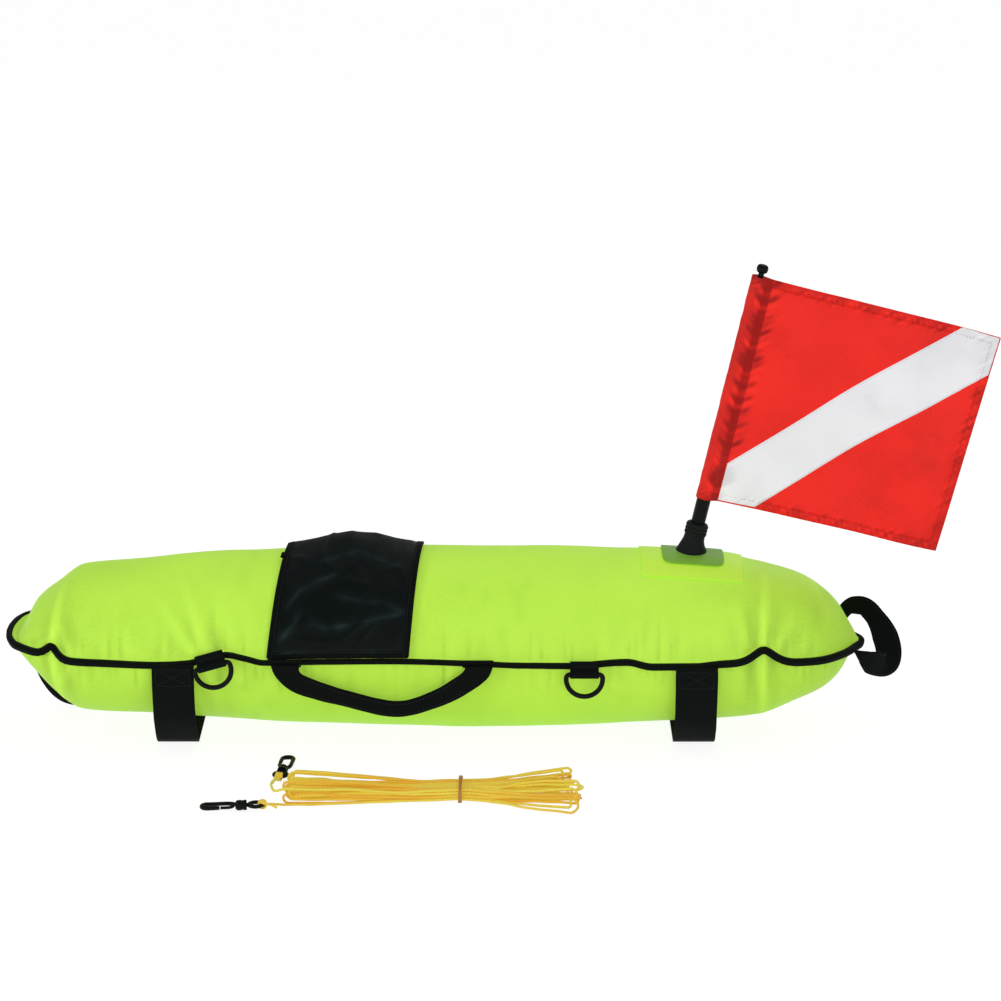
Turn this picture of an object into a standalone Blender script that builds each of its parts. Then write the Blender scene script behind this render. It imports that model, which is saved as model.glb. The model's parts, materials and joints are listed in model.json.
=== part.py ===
"""Inflatable torpedo float with a diver-down flag, carry straps and a tied line.

Metres, +Z up. The origin is on the floor under the middle of the float with its flag.
+X runs along the float towards the flag, and -Y is the side with the carry handle.
"""
import math

import bmesh
import bpy
import numpy as np
from mathutils import Matrix, Vector

for old_object in list(bpy.data.objects):
    bpy.data.objects.remove(old_object, do_unlink=True)

# Clearances
gap = 0.0003
seat_gap = 0.0005
lip_gap = 0.0006
binding_gap = 0.0006
overrun = 0.006

# Body: two sewn covers over an air bladder
body_start = -0.5886
body_length = 1.0212
body_height = 0.220
body_width = 0.220
belly_clearance = 0.001
cover_wall = 0.0012
bladder_wall = 0.001
bladder_inset = 0.0020
bladder_end_inset = 0.0045
nose_bow_left = 0.004
nose_bow_right = 0.003
lip_width = 0.007
binding_wall = 0.001
binding_edge = 0.0012
seam_droop = math.radians(22)
seam_lift = 0.011
pucker_rise = 0.011
pucker_draw = 0.012
pucker_spread_left = 0.011
pucker_spread_right = 0.018
arc_steps = 12
bladder_arc_steps = 6

# Gear straps
gear_strap_width = 0.050
gear_strap_wall = 0.002
gear_strap_left_x = -0.387
gear_strap_right_x = 0.232
gear_strap_drop_top = 0.003
gear_strap_steps = 12

# Carry handle at the front
carry_root_left_x = -0.260
carry_span = 0.2352
carry_drop = 0.0545
carry_width = 0.024
carry_web_wall = 0.0024
carry_grip_wall = 0.006
carry_steps = 22

# Loop handles at the two ends
loop_width = 0.024
loop_wall = 0.0024
loop_root_width = 0.006
loop_root_wall = 0.001
loop_root_gap = 0.0009
loop_steps = 22
right_loop_reach = 0.0504
right_loop_rise = 0.031
left_loop_sweep = 0.055
left_loop_drop = 0.097

# D-rings and their tabs
ring_width = 0.049
ring_height = 0.033
ring_wire = 0.006
tab_width = 0.034
tab_wall = 0.0015
tab_rise = 0.008
tab_drop = 0.007
ring_left_x = -0.3405
ring_right_x = 0.099
ring_left_tilt = math.radians(-16)
ring_right_tilt = 0.0

# Flap over the valve
flap_left_x = -0.279
flap_right_x = -0.094
flap_top_shift = 0.020
flap_bottom_shift = 0.016
flap_wall = 0.0015
flap_lift = 0.0038
flap_hump = 0.0175
flap_peak_x = -0.178
flap_front_turn = math.radians(3)
flap_hinge_turn = math.radians(110)
flap_peak_turn = math.radians(91)
flap_hump_turn = math.radians(42)
tape_wall = 0.001
tape_gap = 0.0008
tape_length = 0.110
tape_front_turn = math.radians(12)
tape_rear_turn = math.radians(26)

# Oral inflation valve
valve_flange_radius = 0.017
valve_flange_wall = 0.002
valve_stem_radius = 0.008
valve_bore_radius = 0.0055
valve_stem_height = 0.010
valve_stem_depth = 0.012
mouthpiece_radius = 0.0095
mouthpiece_bore_radius = 0.003
mouthpiece_height = 0.011
mouthpiece_chamfer = 0.002
mouthpiece_tail_radius = 0.005
mouthpiece_tail_depth = 0.004
mouthpiece_travel = 0.003

# Patches and flag socket
window_half_length = 0.0618
window_half_width = 0.057
window_wall = 0.0008
patch_left_reach = 0.0352
patch_right_reach = 0.0388
patch_half_width = 0.037
patch_wall = 0.0015
patch_gap = 0.0004
mast_end_inset = 0.2034
mast_tilt = math.radians(13)
socket_base_radius = 0.0185
socket_waist_radius = 0.0125
socket_collar_radius = 0.0135
socket_height = 0.036
socket_skirt_height = 0.002
socket_floor = 0.006

# Flag pole
pole_radius = 0.0085
pole_wall = 0.0015
pole_top = 0.3435
pole_foot_gap = 0.0005
pole_fit = 0.0004
neck_radius = 0.0035
neck_length = 0.005
neck_plug_depth = 0.012
knob_radius = 0.007
knob_height = 0.010

# Flag
flag_foot = 0.0675
flag_fly_drop = 0.0070
flag_reach_top = 0.2952
flag_reach_bottom = 0.2865
flag_wall = 0.0012
flag_wave = 0.006
sleeve_wall = 0.0012
sleeve_cap_wall = 0.0012
stripe_wall = 0.0005
stripe_gap = 0.0009
stripe_low_reach = 0.0618
stripe_low_rise = 0.048
stripe_high_reach = 0.249
stripe_high_rise = 0.2965
stripe_edge_gap = 0.0015
rod_radius = 0.0015
rod_drop = 0.006

# Line hank
line_diameter = 0.003
line_left_x = -0.2440
line_right_x = 0.0880
line_waist_x = -0.0460
line_y = -0.265
line_loops = 10
line_pitch_left = 0.0060
line_pitch_waist = 0.0037
line_pitch_right = 0.0104
line_open_left = 0.0035
line_open_right = 0.00575
line_level_left = 0.0066
line_level_waist = 0.00185
line_level_right = 0.0048
line_layer_gap = 0.0037
line_floor_gap = 0.0002
line_waist_lift = 0.0024
line_waist_reach = 0.030
line_waist_flat = 0.008
climb_side_share = 1.12
band_wall = 0.0015
band_width = 0.005
band_gap = 0.0009

# Snap clips
clip_wire_radius = 0.0024
clip_eye_radius = 0.0075
clip_stem_radius = 0.0022
clip_head_radius = 0.0036
clip_head_length = 0.002
clip_barrel_radius = 0.0060
clip_barrel_length = 0.013
clip_barrel_wall = 0.002
clip_hook_radius = 0.0068
clip_hook_length = 0.044
clip_hook_return = 0.013
clip_gate_radius = 0.0018
clip_gate_gap = 0.0008
clip_lead = 0.024

axis_height = body_height / 2 + gear_strap_wall + belly_clearance
mast_x = body_start + body_length - mast_end_inset

# Side outline: place along the body, rise above the axis, drop below it
side_outline_shares = (
    (0.0, 0.0, 0.0),
    (0.0141, 0.17, 0.17),
    (0.0247, 0.36, 0.30),
    (0.0552, 0.60, 0.62),
    (0.0823, 0.78, 0.79),
    (0.1763, 0.87, 0.84),
    (0.2585, 0.935, 0.91),
    (0.3408, 0.965, 0.95),
    (0.4818, 1.0, 0.985),
    (0.5758, 1.0, 1.0),
    (0.7403, 0.965, 0.95),
    (0.8402, 0.90, 0.90),
    (0.8813, 0.82, 0.86),
    (0.9250, 0.71, 0.70),
    (0.9624, 0.50, 0.53),
    (0.9788, 0.335, 0.38),
    (0.9871, 0.20, 0.24),
    (1.0, 0.0, 0.0),
)

# Plan outline: place along the body, half width
plan_outline_shares = (
    (0.0, 0.35),
    (0.007, 0.52),
    (0.0247, 0.68),
    (0.0552, 0.86),
    (0.0823, 0.92),
    (0.13, 0.95),
    (0.20, 0.975),
    (0.30, 1.0),
    (0.62, 1.0),
    (0.76, 0.99),
    (0.84, 0.97),
    (0.8813, 0.93),
    (0.92, 0.83),
    (0.948, 0.73),
    (0.9777, 0.46),
    (1.0, 0.13),
)

# Rise of the seam above the axis, as shares of seam_lift
seam_wave_shares = (
    (0.0, 0.80),
    (0.0247, 0.72),
    (0.05, 0.45),
    (0.0823, 0.10),
    (0.1175, 0.0),
    (0.174, -0.18),
    (0.213, 0.0),
    (0.241, 0.70),
    (0.2585, 1.0),
    (0.282, 0.55),
    (0.303, 0.10),
    (0.34, 0.18),
    (0.45, 0.27),
    (0.55, 0.0),
    (0.60, -0.18),
    (0.652, -0.18),
    (0.7227, 0.27),
    (0.752, -0.27),
    (0.8026, -0.27),
    (0.834, 0.0),
    (0.8813, 0.10),
    (0.922, -0.27),
    (0.9777, -0.45),
    (1.0, -0.55),
)

# How far the seam lip droops, as shares of seam_droop
droop_shares = (
    (0.0, 0.5),
    (0.05, 1.0),
    (0.10, 1.0),
    (0.30, 0.1),
    (0.55, 0.1),
    (0.74, 1.0),
    (0.95, 1.0),
    (1.0, 0.5),
)

station_shares = (
    0.0, 0.010, 0.025, 0.044, 0.0552, 0.066, 0.085, 0.130, 0.175, 0.213, 0.245, 0.275,
    0.310, 0.370, 0.440, 0.510, 0.580, 0.645, 0.690, 0.735, 0.790, 0.835, 0.862, 0.8813,
    0.900, 0.925, 0.950, 0.970, 0.986, 1.0,
)
bladder_station_shares = (
    0.025, 0.0552, 0.085, 0.175, 0.213, 0.245, 0.275, 0.310, 0.440, 0.580, 0.690, 0.790,
    0.835, 0.8813, 0.925, 0.970,
)
pucker_left_share = 0.0552
pucker_right_share = 0.8813
bladder_taper_share = 0.1763
nose_bow_share = 0.025
slope_step_share = 0.001

# Gear strap from the seam to the floor: outward, and up from the floor
gear_strap_shares = (
    (1.0, 1.0),
    (0.995, 0.72),
    (0.90, 0.36),
    (0.72, 0.10),
    (0.57, 0.0),
)

# Carry handle: along its span, and down
carry_shares = (
    (0.0, 0.0),
    (0.010, 0.16),
    (0.070, 0.38),
    (0.165, 0.55),
    (0.311, 0.74),
    (0.5765, 1.0),
    (0.7755, 0.78),
    (0.920, 0.42),
    (0.990, 0.18),
    (1.0, 0.0),
)

# End loops: along the line between the roots, outward, and up
right_loop_shares = (
    (0.0, 0.0, 0.0),
    (0.005, 0.08, 0.10),
    (0.07, 0.26, 0.80),
    (0.23, 0.60, 1.0),
    (0.43, 0.88, 0.48),
    (0.65, 1.0, -0.25),
    (0.82, 0.88, -0.72),
    (0.93, 0.55, -0.60),
    (0.985, 0.16, -0.20),
    (1.0, 0.0, 0.0),
)
left_loop_shares = (
    (0.0, 0.0, 0.0),
    (0.0, 0.09, -0.04),
    (0.01, 0.13, -0.25),
    (0.07, 0.0, -0.52),
    (0.20, -0.45, -0.84),
    (0.42, -1.0, -1.0),
    (0.62, -1.0, -1.0),
    (0.80, -0.45, -0.84),
    (0.93, 0.0, -0.52),
    (0.99, 0.13, -0.25),
    (1.0, 0.09, -0.04),
    (1.0, 0.0, 0.0),
)
right_loop_rear_share = 0.973
right_loop_front_share = 0.987
left_loop_nose_share = 0.022
left_loop_side_share = 0.112


def make_material(name, colour, roughness, metallic=0.0):
    material = bpy.data.materials.new(name)
    material.use_nodes = True
    shader = material.node_tree.nodes["Principled BSDF"]
    shader.inputs["Base Color"].default_value = (*colour, 1.0)
    shader.inputs["Roughness"].default_value = roughness
    shader.inputs["Metallic"].default_value = metallic
    material.diffuse_color = (*colour, 1.0)
    return material


nylon_green = make_material("fluorescent_nylon", (0.45, 0.80, 0.07), 0.55)
coated_green = make_material("coated_patch", (0.20, 0.55, 0.10), 0.35)
clear_film = make_material("bladder_film", (0.55, 0.58, 0.55), 0.40)
black_nylon = make_material("black_nylon", (0.010, 0.012, 0.013), 0.60)
black_webbing = make_material("black_webbing", (0.008, 0.008, 0.009), 0.80)
black_plastic = make_material("black_plastic", (0.012, 0.012, 0.012), 0.35)
black_rubber = make_material("black_rubber", (0.010, 0.010, 0.010), 0.75)
red_nylon = make_material("red_nylon", (0.75, 0.02, 0.015), 0.60)
white_nylon = make_material("white_nylon", (0.85, 0.85, 0.85), 0.60)
yellow_rope = make_material("yellow_rope", (0.85, 0.62, 0.09), 0.55)
brown_rubber = make_material("band_rubber", (0.55, 0.28, 0.09), 0.60)


def add_mesh_object(name, bm, material, parent=None, smooth_angle=math.radians(35)):
    mesh = bpy.data.meshes.new(name)
    bm.to_mesh(mesh)
    bm.free()
    mesh.shade_smooth()
    mesh.set_sharp_from_angle(angle=smooth_angle)
    made = bpy.data.objects.new(name, mesh)
    bpy.context.scene.collection.objects.link(made)
    made.data.materials.append(material)
    if parent is not None:
        keep_place(made, parent)
    return made


def keep_place(child, parent):
    bpy.context.view_layer.update()
    child.parent = parent
    child.matrix_parent_inverse = parent.matrix_world.inverted()


def add_pivot(name, place, axis, parent=None):
    """An empty at a joint, with its local X along the joint's axis."""
    pivot = bpy.data.objects.new(name, None)
    bpy.context.scene.collection.objects.link(pivot)
    turn = Vector((1.0, 0.0, 0.0)).rotation_difference(Vector(axis).normalized())
    pivot.matrix_world = Matrix.Translation(Vector(place)) @ turn.to_matrix().to_4x4()
    bpy.context.view_layer.update()
    if parent is not None:
        keep_place(pivot, parent)
        bpy.context.view_layer.update()
    return pivot


def table_value(table, column, place):
    """Smooth value of one column of a table of shares, without overshoot."""
    xs = np.array([row[0] for row in table])
    ys = np.array([row[column] for row in table])
    steps = np.diff(xs)
    slopes = np.diff(ys) / steps
    ends = np.zeros(len(xs))
    ends[0] = slopes[0]
    ends[-1] = slopes[-1]
    for i in range(1, len(xs) - 1):
        if slopes[i - 1] * slopes[i] > 0:
            before = 2 * steps[i] + steps[i - 1]
            after = steps[i] + 2 * steps[i - 1]
            ends[i] = (before + after) / (before / slopes[i - 1] + after / slopes[i])
    at = min(max(place, xs[0]), xs[-1])
    i = min(int(np.searchsorted(xs, at, side="right")) - 1, len(xs) - 2)
    t = (at - xs[i]) / steps[i]
    rest = 1 - t
    value = ys[i] * (1 + 2 * t) * rest * rest + ys[i + 1] * t * t * (3 - 2 * t)
    return value + steps[i] * (ends[i] * t * rest * rest - ends[i + 1] * t * t * rest)


def smooth_path(points, count):
    """Evenly spaced points on a smooth curve through the given points."""
    pts = [np.array(p, dtype=float) for p in points]
    pts = [2 * pts[0] - pts[1]] + pts + [2 * pts[-1] - pts[-2]]
    dense = []
    per_span = 16
    for a, b, c, d in zip(pts, pts[1:], pts[2:], pts[3:]):
        for k in range(per_span):
            t = k / per_span
            dense.append(
                0.5 * (2 * b + (c - a) * t + (2 * a - 5 * b + 4 * c - d) * t * t
                       + (3 * b - a - 3 * c + d) * t ** 3)
            )
    dense.append(pts[-2])
    dense = np.array(dense)
    run = np.concatenate(([0.0], np.cumsum(np.linalg.norm(np.diff(dense, axis=0), axis=1))))
    wanted = np.linspace(0.0, run[-1], count)
    return [np.array([np.interp(w, run, dense[:, k]) for k in range(3)]) for w in wanted]


def unit(v):
    v = np.array(v, dtype=float)
    return v / np.linalg.norm(v)


def path_tangents(path, closed=False):
    count = len(path)
    tangents = []
    for i in range(count):
        before = path[(i - 1) % count] if closed or i > 0 else path[0]
        after = path[(i + 1) % count] if closed or i < count - 1 else path[-1]
        tangents.append(unit(after - before))
    return tangents


def loft(rings, closed=False, caps=True):
    """A closed body through rings of equal point counts."""
    bm = bmesh.new()
    rows = [[bm.verts.new(p) for p in ring] for ring in rings]
    count = len(rows[0])
    spans = len(rows) if closed else len(rows) - 1
    for i in range(spans):
        low = rows[i]
        high = rows[(i + 1) % len(rows)]
        for k in range(count):
            n = (k + 1) % count
            bm.faces.new((low[k], low[n], high[n], high[k]))
    if caps and not closed:
        bm.faces.new(rows[0])
        bm.faces.new(rows[-1])
    bmesh.ops.recalc_face_normals(bm, faces=bm.faces)
    return bm


def tube_rings(path, radius, sides, closed=False, facing=None):
    """Round rings along a path; facing is a direction that the path stays square to."""
    tangents = path_tangents(path, closed)
    side = unit(np.cross(tangents[0], facing if facing is not None else (0.0, 0.0, 1.0)))
    rings = []
    for i, (point, tangent) in enumerate(zip(path, tangents)):
        if facing is not None:
            side = unit(np.cross(tangent, facing))
        else:
            side = unit(side - tangent * np.dot(side, tangent))
        other = np.cross(tangent, side)
        size = radius[i] if isinstance(radius, (list, tuple)) else radius
        rings.append([
            point + size * (math.cos(a) * side + math.sin(a) * other)
            for a in (2 * math.pi * (k + 0.5) / sides for k in range(sides))
        ])
    return rings


def turned(place, axis, profile, sides):
    """A round body about an axis; profile rows are (radius, height), closed on the axis."""
    axis = unit(axis)
    side = unit(np.cross(axis, (0.0, 1.0, 0.0)))
    other = np.cross(axis, side)
    bm = bmesh.new()
    rows = []
    for radius, height in profile:
        centre = np.array(place) + axis * height
        if radius == 0:
            rows.append([bm.verts.new(centre)])
        else:
            rows.append([
                bm.verts.new(centre + radius * (math.cos(a) * side + math.sin(a) * other))
                for a in (2 * math.pi * k / sides for k in range(sides))
            ])
    pairs = list(zip(rows, rows[1:]))
    if len(rows[0]) > 1:
        pairs.append((rows[-1], rows[0]))
    for low, high in pairs:
        for k in range(sides):
            n = (k + 1) % sides
            if len(low) == 1:
                bm.faces.new((low[0], high[n], high[k]))
            elif len(high) == 1:
                bm.faces.new((low[k], low[n], high[0]))
            else:
                bm.faces.new((low[k], low[n], high[n], high[k]))
    bmesh.ops.recalc_face_normals(bm, faces=bm.faces)
    return bm


def sheet(rows, outward, border=None):
    """An open sheet of quads through rows of points, facing outward, with an optional rim."""
    bm = bmesh.new()
    grid = [[bm.verts.new(p) for p in row] for row in rows]
    for low, high in zip(grid, grid[1:]):
        for k in range(len(low) - 1):
            bm.faces.new((low[k], low[k + 1], high[k + 1], high[k]))
    if border is not None:
        order, rim_points = border
        rim = [bm.verts.new(p) for p in rim_points]
        inner = [grid[i][j] for i, j in order]
        for k in range(len(rim)):
            n = (k + 1) % len(rim)
            bm.faces.new((inner[k], inner[n], rim[n], rim[k]))
    bmesh.ops.recalc_face_normals(bm, faces=bm.faces)
    bm.faces.ensure_lookup_table()
    middle = bm.faces[len(bm.faces) // 3]
    middle.normal_update()
    centre = middle.calc_center_median()
    if middle.normal.dot(Vector(outward(centre))) < 0:
        bmesh.ops.reverse_faces(bm, faces=bm.faces)
    return bm


def thicken(made, wall):
    solid = made.modifiers.new("wall", "SOLIDIFY")
    solid.thickness = wall
    solid.offset = -1.0
    solid.use_even_offset = False
    return solid


def cut(made, cutter):
    cutter.hide_render = True
    cutter.display_type = "WIRE"
    modifier = made.modifiers.new("cut", "BOOLEAN")
    modifier.operation = "DIFFERENCE"
    modifier.solver = "EXACT"
    modifier.object = cutter


# The body's surface


def pucker(along):
    """How strongly the seam is drawn in and up at the two pillow corners."""
    left = (along - pucker_left_share) * body_length / pucker_spread_left
    right = (along - pucker_right_share) * body_length / pucker_spread_right
    return math.exp(-left * left) + math.exp(-right * right)


def body_point(along, turn, side, out=0.0):
    """Point on the covers' outer surface; turn runs from 0 at the front seam to pi."""
    half = body_width / 2 * table_value(plan_outline_shares, 1, along)
    column = 1 if side > 0 else 2
    height = side * body_height / 2 * table_value(side_outline_shares, column, along)
    seam = seam_lift * table_value(seam_wave_shares, 1, along)
    near_edge = (1 - math.sin(turn)) ** 2
    draw = pucker_draw * pucker(along) * near_edge
    rise = pucker_rise * pucker(along) * near_edge
    across = -math.cos(turn) * (half + out - draw)
    up = seam * (1 - math.sin(turn)) + height * math.sin(turn) + side * out * math.sin(turn) + rise
    bow_left = nose_bow_left * max(0.0, 1 - along / nose_bow_share)
    bow_right = nose_bow_right * max(0.0, 1 - (1 - along) / nose_bow_share)
    bow = (bow_left - bow_right) * math.cos(turn) ** 2
    return np.array((body_start + along * body_length + bow, across, axis_height + up))


def along_of(x):
    return (x - body_start) / body_length


def cover_height(x, y):
    """Height of the top cover's outer surface over a place on the plan."""
    along = along_of(x)
    half = body_width / 2 * table_value(plan_outline_shares, 1, along)
    turn = math.acos(min(1.0, max(-1.0, -y / half)))
    return body_point(along, turn, 1)[2]


def seam_loop():
    """Grid places and seam points right round the body, front first."""
    last = len(station_shares) - 1
    places = [(i, 0) for i in range(last + 1)]
    places += [(last, j) for j in range(1, arc_steps + 1)]
    places += [(i, arc_steps) for i in range(last - 1, -1, -1)]
    places += [(0, j) for j in range(arc_steps - 1, 0, -1)]
    points = []
    for i, j in places:
        point = body_point(station_shares[i], math.pi * j / arc_steps, 1)
        if i in (0, last):
            point[2] = axis_height + seam_lift * table_value(seam_wave_shares, 1, station_shares[i])
        points.append(point)
    return places, points


def seam_frame(tangent, along):
    """Directions across the seam lip: outward, and up square to it."""
    plan = unit(np.cross(tangent, (0.0, 0.0, 1.0)))
    droop = seam_droop * table_value(droop_shares, 1, along)
    outward = math.cos(droop) * plan - math.sin(droop) * np.array((0.0, 0.0, 1.0))
    upward = unit(np.cross(outward, tangent))
    return outward, upward


binding_inner_half = lip_gap / 2 + cover_wall + binding_gap
binding_outer_half = binding_inner_half + binding_wall
binding_reach = lip_width + binding_gap + binding_wall
seam_places, seam_points = seam_loop()
seam_tangents = path_tangents(seam_points, closed=True)
seam_frames = [
    seam_frame(tangent, station_shares[i]) for (i, j), tangent in zip(seam_places, seam_tangents)
]


def seam_edge(along, rear=False):
    """Outermost line of the binding, its outward direction and its run, at one place."""
    turn = math.pi if rear else 0.0
    before = body_point(max(along - slope_step_share, 0.0), turn, 1)
    after = body_point(min(along + slope_step_share, 1.0), turn, 1)
    tangent = unit(before - after) if rear else unit(after - before)
    outward, upward = seam_frame(tangent, along)
    return body_point(along, turn, 1) + outward * binding_reach, outward, tangent


def widest_edge(x, half_width, rear=False):
    """The binding's edge at a place, moved out to its widest over a stretch of the seam."""
    corners = []
    for step in (-1, -0.5, 0, 0.5, 1):
        along = along_of(x + half_width * step)
        edge, outward, tangent = seam_edge(along, rear)
        upward = seam_frame(tangent, along)[1]
        corners.append((edge + upward * binding_outer_half)[1])
    middle = seam_edge(along_of(x), rear)[0]
    middle[1] = max(corners, key=abs)
    return middle


def make_cover(name, side):
    rows = [
        [body_point(along, math.pi * j / arc_steps, side) for j in range(arc_steps + 1)]
        for along in station_shares
    ]
    rim = []
    for (i, j), point, (outward, upward) in zip(seam_places, seam_points, seam_frames):
        base = point + side * (lip_gap / 2 + cover_wall) * upward
        rows[i][j] = base
        rim.append(base + outward * lip_width)
    bm = sheet(rows, lambda c: (0.0, c[1], c[2] - axis_height), border=(seam_places, rim))
    made = add_mesh_object(name, bm, nylon_green)
    thicken(made, cover_wall)
    return made


def make_binding():
    section = (
        (binding_edge, binding_outer_half),
        (binding_reach, binding_outer_half),
        (binding_reach, -binding_outer_half),
        (binding_edge, -binding_outer_half),
        (binding_edge, -binding_inner_half),
        (lip_width + binding_gap, -binding_inner_half),
        (lip_width + binding_gap, binding_inner_half),
        (binding_edge, binding_inner_half),
    )
    rings = [
        [point + outward * out + upward * up for out, up in section]
        for point, (outward, upward) in zip(seam_points, seam_frames)
    ]
    return add_mesh_object("seam_binding", loft(rings, closed=True), black_webbing)


def make_bladder():
    rings = []
    for along in bladder_station_shares:
        nearness = min(1.0, min(along, 1 - along) / bladder_taper_share)
        inset = bladder_end_inset + (bladder_inset - bladder_end_inset) * nearness
        top = [
            body_point(along, math.pi * j / bladder_arc_steps, 1, -inset)
            for j in range(bladder_arc_steps + 1)
        ]
        bottom = [
            body_point(along, math.pi * j / bladder_arc_steps, -1, -inset)
            for j in range(bladder_arc_steps - 1, 0, -1)
        ]
        rings.append(top + bottom)
    made = add_mesh_object("bladder", loft(rings), clear_film)
    thicken(made, bladder_wall)
    return made


cover_top = make_cover("cover_top", 1)
cover_bottom = make_cover("cover_bottom", -1)
seam_binding = make_binding()
bladder = make_bladder()


# Oral inflation valve

valve_x = flap_peak_x
valve_z = cover_height(valve_x, 0.0)


def conform_ring(centre_x, radius, lift, sides):
    """A round ring of points that follows the top cover at a given lift."""
    ring = []
    for k in range(sides):
        a = 2 * math.pi * k / sides
        x = centre_x + radius * math.cos(a)
        y = radius * math.sin(a)
        ring.append(np.array((x, y, cover_height(x, y) + lift)))
    return ring


def flat_ring(centre_x, radius, height, sides):
    return [
        np.array((centre_x + radius * math.cos(2 * math.pi * k / sides),
                  radius * math.sin(2 * math.pi * k / sides), height))
        for k in range(sides)
    ]


def make_valve():
    sides = 18
    hole = turned((valve_x, 0.0, valve_z), (0.0, 0.0, 1.0), (
        (0.0, -valve_stem_depth - overrun),
        (valve_stem_radius + gap, -valve_stem_depth - overrun),
        (valve_stem_radius + gap, overrun),
        (0.0, overrun),
    ), sides)
    cutter = add_mesh_object("valve_hole", hole, black_plastic)
    cut(cover_top, cutter)
    cut(bladder, cutter)
    inner = valve_stem_radius + gap
    rings = [
        conform_ring(valve_x, inner, gap, sides),
        conform_ring(valve_x, valve_flange_radius, gap, sides),
        conform_ring(valve_x, valve_flange_radius, gap + valve_flange_wall / 2, sides),
        conform_ring(valve_x, valve_flange_radius - valve_flange_wall, gap + valve_flange_wall, sides),
        conform_ring(valve_x, inner, gap + valve_flange_wall, sides),
    ]
    add_mesh_object("valve_flange", loft(rings, closed=True), black_plastic)
    seat = mouthpiece_tail_depth + mouthpiece_travel
    stem = turned((valve_x, 0.0, valve_z), (0.0, 0.0, 1.0), (
        (valve_bore_radius, valve_stem_height),
        (valve_bore_radius, valve_stem_height - seat - gap),
        (mouthpiece_bore_radius, valve_stem_height - seat - gap),
        (mouthpiece_bore_radius, -valve_stem_depth),
        (valve_stem_radius, -valve_stem_depth),
        (valve_stem_radius, valve_stem_height),
    ), sides)
    add_mesh_object("valve_stem", stem, black_plastic)
    pivot = add_pivot("mouthpiece_pivot", (valve_x, 0.0, valve_z + valve_stem_height), (0.0, 0.0, 1.0))
    skirt = valve_stem_radius + gap
    crown = valve_stem_height + mouthpiece_travel + gap
    top = mouthpiece_height + mouthpiece_travel
    mouthpiece = turned((valve_x, 0.0, valve_z), (0.0, 0.0, 1.0), (
        (mouthpiece_bore_radius, top),
        (mouthpiece_bore_radius, crown - mouthpiece_tail_depth),
        (mouthpiece_tail_radius, crown - mouthpiece_tail_depth),
        (mouthpiece_tail_radius, crown),
        (skirt, crown),
        (skirt, valve_stem_height - mouthpiece_travel),
        (mouthpiece_radius, valve_stem_height - mouthpiece_travel),
        (mouthpiece_radius, crown),
        (mouthpiece_radius - mouthpiece_chamfer, top),
    ), sides)
    add_mesh_object("valve_mouthpiece", mouthpiece, black_plastic, pivot)


make_valve()


# Flap with its hook and loop tapes


def flap_side_x(share_across, turn):
    """Place along X of the flap's side edges, which lean towards the right at the top."""
    up = min(1.0, turn / (math.pi / 2))
    left = flap_left_x + flap_top_shift * up
    right = flap_right_x - flap_bottom_shift * (1 - up)
    return left + (right - left) * share_across


def flap_lift_at(x, turn):
    near_hinge = max(0.0, (turn - flap_peak_turn) / (flap_hinge_turn - flap_peak_turn))
    base = flap_lift + (seat_gap - flap_lift) * near_hinge
    reach = (flap_right_x - flap_peak_x) if x > flap_peak_x else (flap_peak_x - flap_left_x)
    along = max(0.0, 1 - abs(x - flap_peak_x) / (reach * 0.92))
    away = (flap_peak_turn - turn) / flap_hump_turn
    if turn > flap_peak_turn:
        away = (turn - flap_peak_turn) / (flap_hinge_turn - flap_peak_turn)
    around = max(0.0, 1 - abs(away))
    return base + flap_hump * along ** 0.9 * around * around * (3 - 2 * around)


def make_flap():
    columns = 11
    turn_rows = 12
    rows = []
    for i in range(columns + 1):
        row = []
        for j in range(turn_rows + 1):
            turn = flap_front_turn + (flap_hinge_turn - flap_front_turn) * j / turn_rows
            x = flap_side_x(i / columns, turn)
            row.append(body_point(along_of(x), turn, 1, flap_lift_at(x, turn) + flap_wall))
        rows.append(row)
    hinge_left = rows[0][-1]
    hinge_right = rows[-1][-1]
    drop = np.array((0.0, 0.0, flap_wall))
    pivot = add_pivot("flap_pivot", (hinge_left + hinge_right) / 2 - drop, hinge_left - hinge_right)
    bm = sheet(rows, lambda c: (0.0, c[1], c[2] - axis_height))
    flap = add_mesh_object("valve_flap", bm, black_nylon, pivot)
    thicken(flap, flap_wall)
    middle = (flap_left_x + flap_right_x - flap_bottom_shift) / 2
    for name, lift, parent in (
        ("flap_loop_tape", gap, None),
        ("flap_hook_tape", flap_lift - tape_gap - tape_wall, pivot),
    ):
        tape_rows = []
        for i in range(9):
            x = middle + tape_length * (i / 8 - 0.5)
            tape_rows.append([
                body_point(along_of(x), tape_front_turn + (tape_rear_turn - tape_front_turn) * j / 3,
                           1, lift + tape_wall)
                for j in range(4)
            ])
        bm = sheet(tape_rows, lambda c: (0.0, c[1], c[2] - axis_height))
        made = add_mesh_object(name, bm, black_webbing, parent)
        thicken(made, tape_wall)


make_flap()


# Gear straps that carry the float on the floor


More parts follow.
